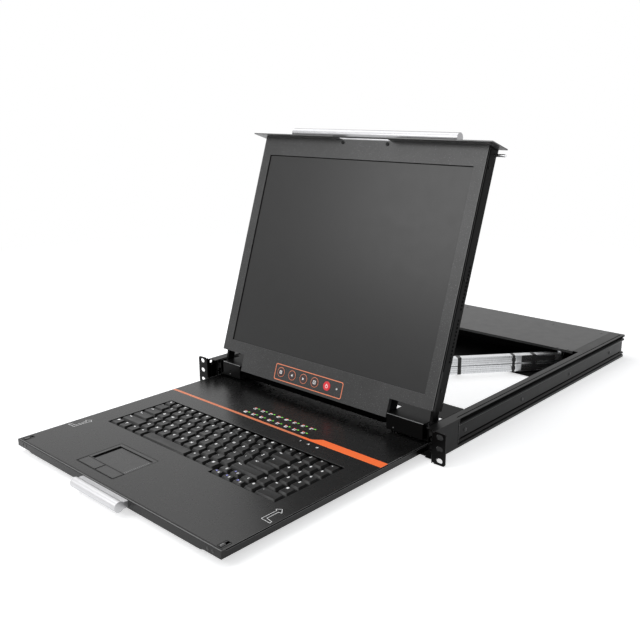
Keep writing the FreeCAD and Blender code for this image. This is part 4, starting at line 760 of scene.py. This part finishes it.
def buildLatchMarks():
    # painted shade as a black frame round each release latch's slot, and a painted highlight on a corner of its
    # knob
    s = latchSet
    for side, node, body in ((-1, "left_tray_latch", "left_latch"), (1, "right_tray_latch", "right_latch")):
        low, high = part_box(node)
        rear = Vector((high.x, high.y + s["travel"] * mm, high.z))
        lines = [boxOutline(low, rear, s["gap"] + grow, s["corner"] + grow) for grow in (s["line"], 0)]
        pieceOf(addRing, [(*lines, 0, s["thick"] * mm)], node + "SlotShade", "shadeSeamAndHoleBlack", "tray", place=trayPlace)
        wide, inset, length = s["glint"]
        inside = (low.x if side > 0 else high.x) / mm + side * inset
        y0, z0 = low.y / mm + s["footUp"], high.z / mm
        strips = [(*sorted((inside, inside + side * reach)), y0, y0 + run, z0, z0 + s["thick"])
                  for reach, run in ((wide, length), (s["foot"], wide))]
        pieceOf(addStrip, strips, node + "Glint", "brightHighlight", body)


buildLatchMarks()

railSet = dict(
    top=20.0, groove=(215.9, 217.6), face=222.0, web=218.2, rear=578.0, start=60.0, webStart=68.0,
    upper=(15.6, 19.5), lower=(-12.6, -10.6), seam=(56.3, 57.7), seamSpan=(-14.2, 15.6), seamLight=0.7,
    thick=0.05)


def addSideSlab(bm, side, x, y0, y1, low, high):
    # thin slab standing out from the side of a rail
    outline = plainOutline(side * x, side * (x + railSet["thick"]), y0, y1)
    addPrism(bm, outline, low * mm, high * mm)


def buildRailLines():
    # groove along the top flange, black bead shadows, and the butt seam behind the ear's side plate with a painted
    # highlight along its rear side
    s = railSet
    dark, light = bmesh.new(), bmesh.new()
    for side in (-1, 1):
        x0, x1 = sorted(side * x for x in s["groove"])
        addStrip(dark, x0, x1, s["start"], s["rear"], s["top"], s["top"] + s["thick"])
        addSideSlab(dark, side, s["face"], s["start"], s["rear"], *s["upper"])
        addSideSlab(dark, side, s["web"], s["webStart"], s["rear"], *s["lower"])
        addSideSlab(dark, side, s["face"], *s["seam"], *s["seamSpan"])
        behind = s["seam"][1]
        addSideSlab(light, side, s["face"], behind, behind + s["seamLight"], *s["seamSpan"])
    meshPiece("railShadowLines", dark, "shadeSeamAndHoleBlack", "chassis")
    meshPiece("railSeamHighlight", light, "dimHighlight", "chassis")


buildRailLines()

# flank lines as low and high end, near and far depth behind the panel's face
sealSet = dict(
    lip=(-150.0, 130.0, -35.0, -26.0, -14.0, -9.0), edge=204.6, line=0.6, bottom=2.0, top=344.0,
    window=(188.15, 18.2, 319.24), gap=1.1, lowerLip=0.5, thick=0.05,
    flanks=((4.0, 52.0, -0.4, -1.8), (52.0, 344.0, -0.4, -2.0), (52.0, 344.0, -4.2, -6.2)),
    ventStarts=(66.0, 136.0), ventPitch=5.0, ventCount=12, ventSize=2.8, ventDepth=16.0)


def buildPanelSeals():
    # painted shade: a black strip below the control tab, dark gap lines on the screen's left and top edges, and
    # dark seam lines along the flanks;
    # painted highlights: a light line along each side of the bezel and a pale line under the screen; and dark vent
    # marks on the flanks
    s = sealSet
    thick, size = s["thick"], s["ventSize"]
    face = max((toPanel @ v.co).z for v in nodes["lcd_screen"].data.vertices) / mm
    half, low, high = s["window"]
    edges = [(*sorted((side * s["edge"], side * (s["edge"] - s["line"]))), s["bottom"], s["top"], 0, thick)
             for side in (-1, 1)]
    gaps = [(-half, -half + s["gap"], low, high, face, face + thick),
            (-half, half, high - s["gap"], high, face, face + thick)]
    lip = [(-half, half, low - s["lowerLip"], low, 0, thick)]
    pieceOf(addStrip, [s["lip"]], "tabShadeStrip", "shadeSeamAndHoleBlack", "lcd_panel", place=panelPlace, smooth=True)
    pieceOf(addStrip, edges, "bezelEdgeHighlights", "softHighlight", "lcd_panel", place=panelPlace)
    pieceOf(addStrip, gaps, "screenGapShade", "shadeSeamAndHoleBlack", "lcd_panel", panelPlace)
    pieceOf(addStrip, lip, "screenLowerLipHighlight", "dimHighlight", "lcd_panel", place=panelPlace)
    vents = [(s["ventDepth"] - size / 2, s["ventDepth"] + size / 2, y - size / 2, y + size / 2)
             for start in s["ventStarts"] for y in (start + s["ventPitch"] * i for i in range(s["ventCount"]))]
    skins = []
    for side in (-1, 1):
        flank = sidePlace(side)
        skins += [(-near, -far, y0, y1, -thick, thick, flank) for y0, y1, near, far in s["flanks"]]
        skins += [(*vent, -thick, thick, flank) for vent in vents]
    pieceOf(addStrip, skins, "flankShadeAndVents", "shadeSeamAndHoleBlack", "lcd_panel", place=panelPlace)


buildPanelSeals()

# along the bar from its elbow; near and far are its two faces; head is out, in, half height and overlap
armSet = dict(
    bottoms=(("lcd", -2.6), ("tray", -17.3)), near=0.5, far=13.3, height=13.3, margin=0.9, proud=0.3,
    over=0.45, bandCorner=1.0, fit=0.05, fitCorner=0.6, start=14.0, tie=(139.5, 144.0),
    head=(1.2, 0.2, 3.0, 0.6), sleeve=(147.0, 155.0), sleeveShare=0.7, wrap=(155.4, 182.5), cords=4,
    cordGap=0.12, grooves=(3.4, 6.5, 10.3), groove=0.45, grooveEnd=138.5)
alongBar = Matrix(((0, 0, 1, 0), (1, 0, 0, 0), (0, 1, 0, 0), (0, 0, 0, 1)))


def addBand(bm, start, end, over, place):
    # square collar round the bar
    s = armSet
    outlines = [roundedOutline((s["near"] - grow) * mm, (s["far"] + grow) * mm, -grow * mm,
                               (s["height"] + grow) * mm, corner * mm, 3)
                for grow, corner in ((over, s["bandCorner"]), (s["fit"], s["fitCorner"]))]
    addRing(bm, *outlines, start * mm, end * mm, place)


def buildArmWraps():
    # grooves as dark strips of painted shade, cable tie, clamp sleeve and cords on the rear bar of both cable arms
    s = armSet
    near, over = s["near"], s["over"]
    for module, bottom in s["bottoms"]:
        rear, front = joints[module + "_arm_rear_turn"], joints[module + "_arm_front_turn"]
        turn = -rear["range_deg"][0] - front["range_deg"][1]
        elbow = Vector(rear["pos_m"])
        place = (Matrix.Translation((elbow.x, elbow.y, bottom * mm)) @ Matrix.Rotation(radians(turn), 4, "Z")
                 @ alongBar)
        body = module + "_arm_rear"
        dark, steel, grooves = (bmesh.new() for index in range(3))
        addBand(dark, *s["tie"], over, place)
        out, inward, half, lap = s["head"]
        middle, (low, high) = s["height"] / 2, s["tie"]
        addStrip(dark, near - over - out, near - over + inward, middle - half, middle + half, low - lap,
                 high + lap, place)
        addBand(steel, *s["sleeve"], over * s["sleeveShare"], place)
        room = s["height"] - 2 * s["margin"]
        cord = (room - s["cordGap"] * (s["cords"] - 1)) / s["cords"]
        for index in range(s["cords"]):
            z = s["margin"] + index * (cord + s["cordGap"])
            addStrip(dark, near - s["proud"], near, z, z + cord, *s["wrap"], place)
        for z in s["grooves"]:
            addStrip(grooves, near - s["fit"], near, z, z + s["groove"], s["start"], s["grooveEnd"], place)
        meshPiece(module + "ArmTieAndCords", dark, "cableRubber", body)
        meshPiece(module + "ArmSleeve", steel, "zincPlate", body)
        meshPiece(module + "ArmGrooves", grooves, "grooveShadeSteel", body)


buildArmWraps()
print("edges and seams drawn")

# plate is a flange's near and far side from the socket's centre and its half height
socketSet = dict(
    width=30.8, slack=0.1, flange=587.0, nose=592.8, noseHalf=8.15, noseHigh=4.15, lean=1.4, corner=1.1,
    shell=0.3, slip=0.02, insert=-1.0, posts=12.5, postFlat=4.8, postEnd=592.0, postHole=1.3,
    pinRows=(-1.9, 0.0, 1.9), pins=5, pinPitch=2.3, pinShift=0.55, pinRadius=0.5, plate=(8.8, 15.3, 6.15),
    plateHole=3.15, rays=36, thick=0.05)
facingBack = Matrix(((1, 0, 0, 0), (0, 0, 1, 0), (0, 1, 0, 0), (0, 0, 0, 1)))


def noseOutline(x, z, grow):
    # the D of a monitor socket, wider at the top
    s = socketSet
    wide, top, lean, corner = s["noseHalf"] + grow, s["noseHigh"] + grow, s["lean"], s["corner"]
    half = [(corner - wide, top), (-wide, top - corner), (lean - wide, corner - top),
            (lean + corner - wide, -top)]
    points = half[1:] + [(-u, v) for u, v in reversed(half)] + half[:1]
    return scaled([(x + u, z + v) for u, v in points])


def rayOutline(x, z, x0, x1, high, count):
    # rectangle as seen from a point inside it, one corner point for each ray
    points = []
    for index in range(count):
        u, v = cos(tau * index / count), sin(tau * index / count)
        reachX = (x1 - x) / u if u > 1e-6 else (x0 - x) / u if u < -1e-6 else 1e9
        reachZ = high / abs(v) if abs(v) > 1e-6 else 1e9
        reach = min(reachX, reachZ)
        points.append((x + u * reach, z + v * reach))
    return scaled(points)


def buildSocketFaces():
    # plated shells, flanges and jack screws, coloured inserts and contact holes of the rear sockets
    s = socketSet
    steel, inserts, holes = (bmesh.new() for index in range(3))
    flange, nose, end, thick = (s[key] * mm for key in ("flange", "nose", "postEnd", "thick"))
    flat, rays = s["postFlat"] / 3 ** 0.5, s["rays"]
    near, far, tall = s["plate"]
    for low, high in islandBoxes("rear_sockets"):
        if abs((high.x - low.x) / mm - s["width"]) > s["slack"]:
            continue
        x, z = (low.x + high.x) / 2 / mm, (low.z + high.z) / 2 / mm
        shell = [noseOutline(x, z, s[grow]) for grow in ("shell", "slip")]
        addRing(steel, *shell, flange + thick, nose + thick)
        addPrism(inserts, noseOutline(x, z, s["insert"]), nose, nose + thick)
        for row, up in enumerate(s["pinRows"]):
            for column in range(s["pins"]):
                across = (column - (s["pins"] - 1) / 2) * s["pinPitch"] + (row - 1) * s["pinShift"]
                addPrism(holes, circleOutline(x + across, z + up, s["pinRadius"], 8), nose + thick,
                         nose + 2 * thick)
        for side in (-1, 1):
            post = x + side * s["posts"]
            x0, x1 = sorted((x + side * near, x + side * far))
            plate, hole = rayOutline(post, z, x0, x1, tall, rays), circleOutline(post, z, s["plateHole"], rays)
            addRing(steel, plate, hole, flange, flange + thick)
            sleeve = [circleOutline(post, z, flat + s[grow], 6) for grow in ("shell", "slip")]
            addRing(steel, *sleeve, flange + thick, end + thick)
            addPrism(steel, circleOutline(post, z, flat, 6), end, end + thick)
            addPrism(holes, circleOutline(post, z, s["postHole"], 16), end + thick, end + 2 * thick)
    for name, bm, finish in (("socketShells", steel, "zincPlate"), ("socketInserts", inserts, "socketPlastic"),
                             ("socketHoles", holes, "shadeSeamAndHoleBlack")):
        meshPiece(name, bm, finish, "chassis", facingBack)


buildSocketFaces()
print("rear sockets dressed")

# profile as shares of radius and height from the crown down; the recess in shares of them too
screwSet = dict(
    profile=((0.55, 0.96), (0.85, 0.7), (1.0, 0.25), (1.0, 0.0)), armLong=0.62, armHalf=0.13, footShare=0.6,
    footUp=0.35, above=1.0 * mm, turn=0.9, crease=40.0)


def crossScrewMesh(radius, height):
    # pan head with a cross recess, standing on the origin along +Z
    s = screwSet
    bm = bmesh.new()
    rings = [[bm.verts.new((x, y, height * up)) for x, y in circleOutline(0, 0, radius / mm * wide)]
             for wide, up in s["profile"]]
    for first, second in zip(rings, rings[1:]):
        addWall(bm, second, first)
    bm.faces.new(rings[0])
    bm.faces.new(reversed(rings[-1]))
    bmesh.ops.recalc_face_normals(bm, faces=bm.faces)
    head = newObject("screwHead", bakeMesh("screwHead", bm))
    bm = bmesh.new()
    long, half, foot = radius * s["armLong"], radius * s["armHalf"], s["footShare"]
    corners = ((1, 1), (-1, 1), (-1, -1), (1, -1))
    for x, y in ((long, half), (half, long)):
        top = [bm.verts.new((sx * x, sy * y, height + s["above"])) for sx, sy in corners]
        low = [bm.verts.new((sx * x * foot, sy * y * foot, height * s["footUp"])) for sx, sy in corners]
        bm.faces.new(top)
        bm.faces.new(reversed(low))
        addWall(bm, low, top)
    bmesh.ops.recalc_face_normals(bm, faces=bm.faces)
    cutter = newObject("screwCutter", bakeMesh("screwCutter", bm))
    cut = head.modifiers.new("recess", "BOOLEAN")
    cut.operation = "DIFFERENCE"
    cut.solver = "EXACT"
    cut.use_self = True
    cut.object = cutter
    bpy.context.view_layer.update()
    result = bpy.data.meshes.new_from_object(head.evaluated_get(bpy.context.evaluated_depsgraph_get()))
    bpy.data.objects.remove(head)
    bpy.data.objects.remove(cutter)
    return result


def screwsOn(node, name, body):
    # one cross-head screw over every plain head of the node, each turned a little further
    patterns = {}
    bm = bmesh.new()
    turn = 0
    for low, high in islandBoxes(node):
        centre, size = (low + high) / 2, high - low
        axis = min(range(3), key=lambda i: size[i])
        radius, height = max(size) / 2, size[axis]
        key = (round(radius, 5), round(height, 5))
        if key not in patterns:
            patterns[key] = crossScrewMesh(radius, height)
        outward = ((1 if centre.x > 0 else -1, 0, 0), (0, -1, 0), (0, 0, 1))
        direction = Vector(outward[axis])
        turn += screwSet["turn"]
        rotation = direction.to_track_quat("Z", "Y").to_matrix().to_4x4() @ Matrix.Rotation(turn, 4, "Z")
        addMesh(bm, patterns[key], Matrix.Translation(centre - direction * (height / 2)) @ rotation)
    piece = meshPiece(name, bm, "screwBlack", body, smooth=True)
    piece.data.set_sharp_from_angle(angle=radians(screwSet["crease"]))
    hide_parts(node)


screwsOn("chassis_screws", "chassisScrews", "chassis")
screwsOn("tray_screws", "trayScrews", "tray")
print("screws cut")

# the floor fades into the backdrop between near and far, in metres
floorSet = dict(size=12.0, gap=0.0004, color=0.82, rough=0.9, specular=0.1, glow=0.58, near=0.75, far=1.7)
worldSet = {"Color": (0.95, 0.97, 1.0, 1), "Strength": 0.38}


def seenRays(tree):
    # one for rays from the camera, in reflections and through glass
    rays = addNode(tree, "LightPath").outputs
    seen = mathNode(tree, "MAXIMUM", rays["Is Camera Ray"], rays["Is Glossy Ray"])
    return mathNode(tree, "MAXIMUM", seen, rays["Is Transmission Ray"])


def mixShaders(tree, factor, first, second):
    return addNode(tree, "MixShader", {0: factor, 1: first.outputs[0], 2: second.outputs[0]}).outputs[0]


def buildFloor():
    # pale floor with a glow that only the camera sees, fading into the backdrop
    s = floorSet
    bm = bmesh.new()
    half = s["size"] / 2
    bm.faces.new([bm.verts.new((x * half, y * half, 0)) for x, y in ((-1, -1), (1, -1), (1, 1), (-1, 1))])
    floor = newObject("floor", bakeMesh("floor", bm))
    floor.location = (0, 0, cadBox[0][2] - s["gap"])
    material = bpy.data.materials.new("paleFloor")
    material.use_nodes = True
    tree = material.node_tree
    shader = fill(tree, tree.nodes["Principled BSDF"], {
        "Base Color": rgba(s["color"]), "Roughness": s["rough"], "Specular IOR Level": s["specular"]})
    seen = seenRays(tree)
    glow = addNode(tree, "Emission", {"Strength": mathNode(tree, "MULTIPLY", seen, s["glow"])})
    near = addNode(tree, "AddShader", {0: shader.outputs[0], 1: glow.outputs[0]})
    place = addNode(tree, "TexCoord").outputs["Object"]
    length = addNode(tree, "VectorMath", {0: place}, operation="LENGTH").outputs["Value"]
    away = mathNode(tree, "MULTIPLY", seen, mapRange(tree, length, s["near"], s["far"]))
    surface = mixShaders(tree, away, near, addNode(tree, "Emission"))
    fill(tree, tree.nodes["Material Output"], {"Surface": surface})
    floor.data.materials.append(material)


def buildWorld():
    # cool soft light on the part, plain white where the camera sees past the floor
    world = bpy.data.worlds.new("studio")
    bpy.context.scene.world = world
    world.use_nodes = True
    tree = world.node_tree
    ambient = fill(tree, tree.nodes["Background"], worldSet)
    white = addNode(tree, "Background", {"Color": rgba(1.0), "Strength": 1.0})
    fill(tree, tree.nodes["World Output"], {"Surface": mixShaders(tree, seenRays(tree), ambient, white)})


# name, place, aim, size and power
lampSet = [
    ("overhead", (-0.85, 0.1, 1.75), (0.0, 0.0, 0.1), 1.5, 13.0),
    ("frontSoft", (-0.95, -1.72, 1.42), (0.0, 0.0, 0.2), 1.25, 17.0),
    ("rightSoft", (1.6, -0.6, 1.1), (0.0, 0.1, 0.1), 1.2, 2.0),
]


def buildLamps():
    for name, place, aim, size, power in lampSet:
        light = bpy.data.lights.new(name, "AREA")
        light.shape = "SQUARE"
        light.size = size
        light.energy = power
        lamp = newObject(name, light)
        lamp.location = place
        lamp.rotation_euler = (Vector(aim) - Vector(place)).to_track_quat("-Z", "Y").to_euler()


cameraSet = dict(
    azimuth=42.85, elevation=15.23, roll=-0.31, lens=45.16, sensor=36.0, near=0.01,
    place=(0.75516, -0.78435, 0.42212))


def buildCamera():
    a, e, r = (radians(cameraSet[key]) for key in ("azimuth", "elevation", "roll"))
    right = Vector((cos(a), sin(a), 0))
    back = Vector((sin(a) * cos(e), -cos(a) * cos(e), sin(e)))
    up = back.cross(right)
    rolledRight = right * cos(r) + up * sin(r)
    rolledUp = up * cos(r) - right * sin(r)
    turn = Matrix((rolledRight, rolledUp, back)).transposed().to_4x4()
    data = bpy.data.cameras.new("camera")
    data.lens = cameraSet["lens"]
    data.sensor_width = cameraSet["sensor"]
    data.clip_start = cameraSet["near"]
    camera = newObject("camera", data)
    camera.matrix_world = Matrix.Translation(cameraSet["place"]) @ turn
    bpy.context.scene.camera = camera


buildFloor()
buildWorld()
buildLamps()
buildCamera()
bpy.context.scene.view_settings.view_transform = "Standard"
print("stage set")
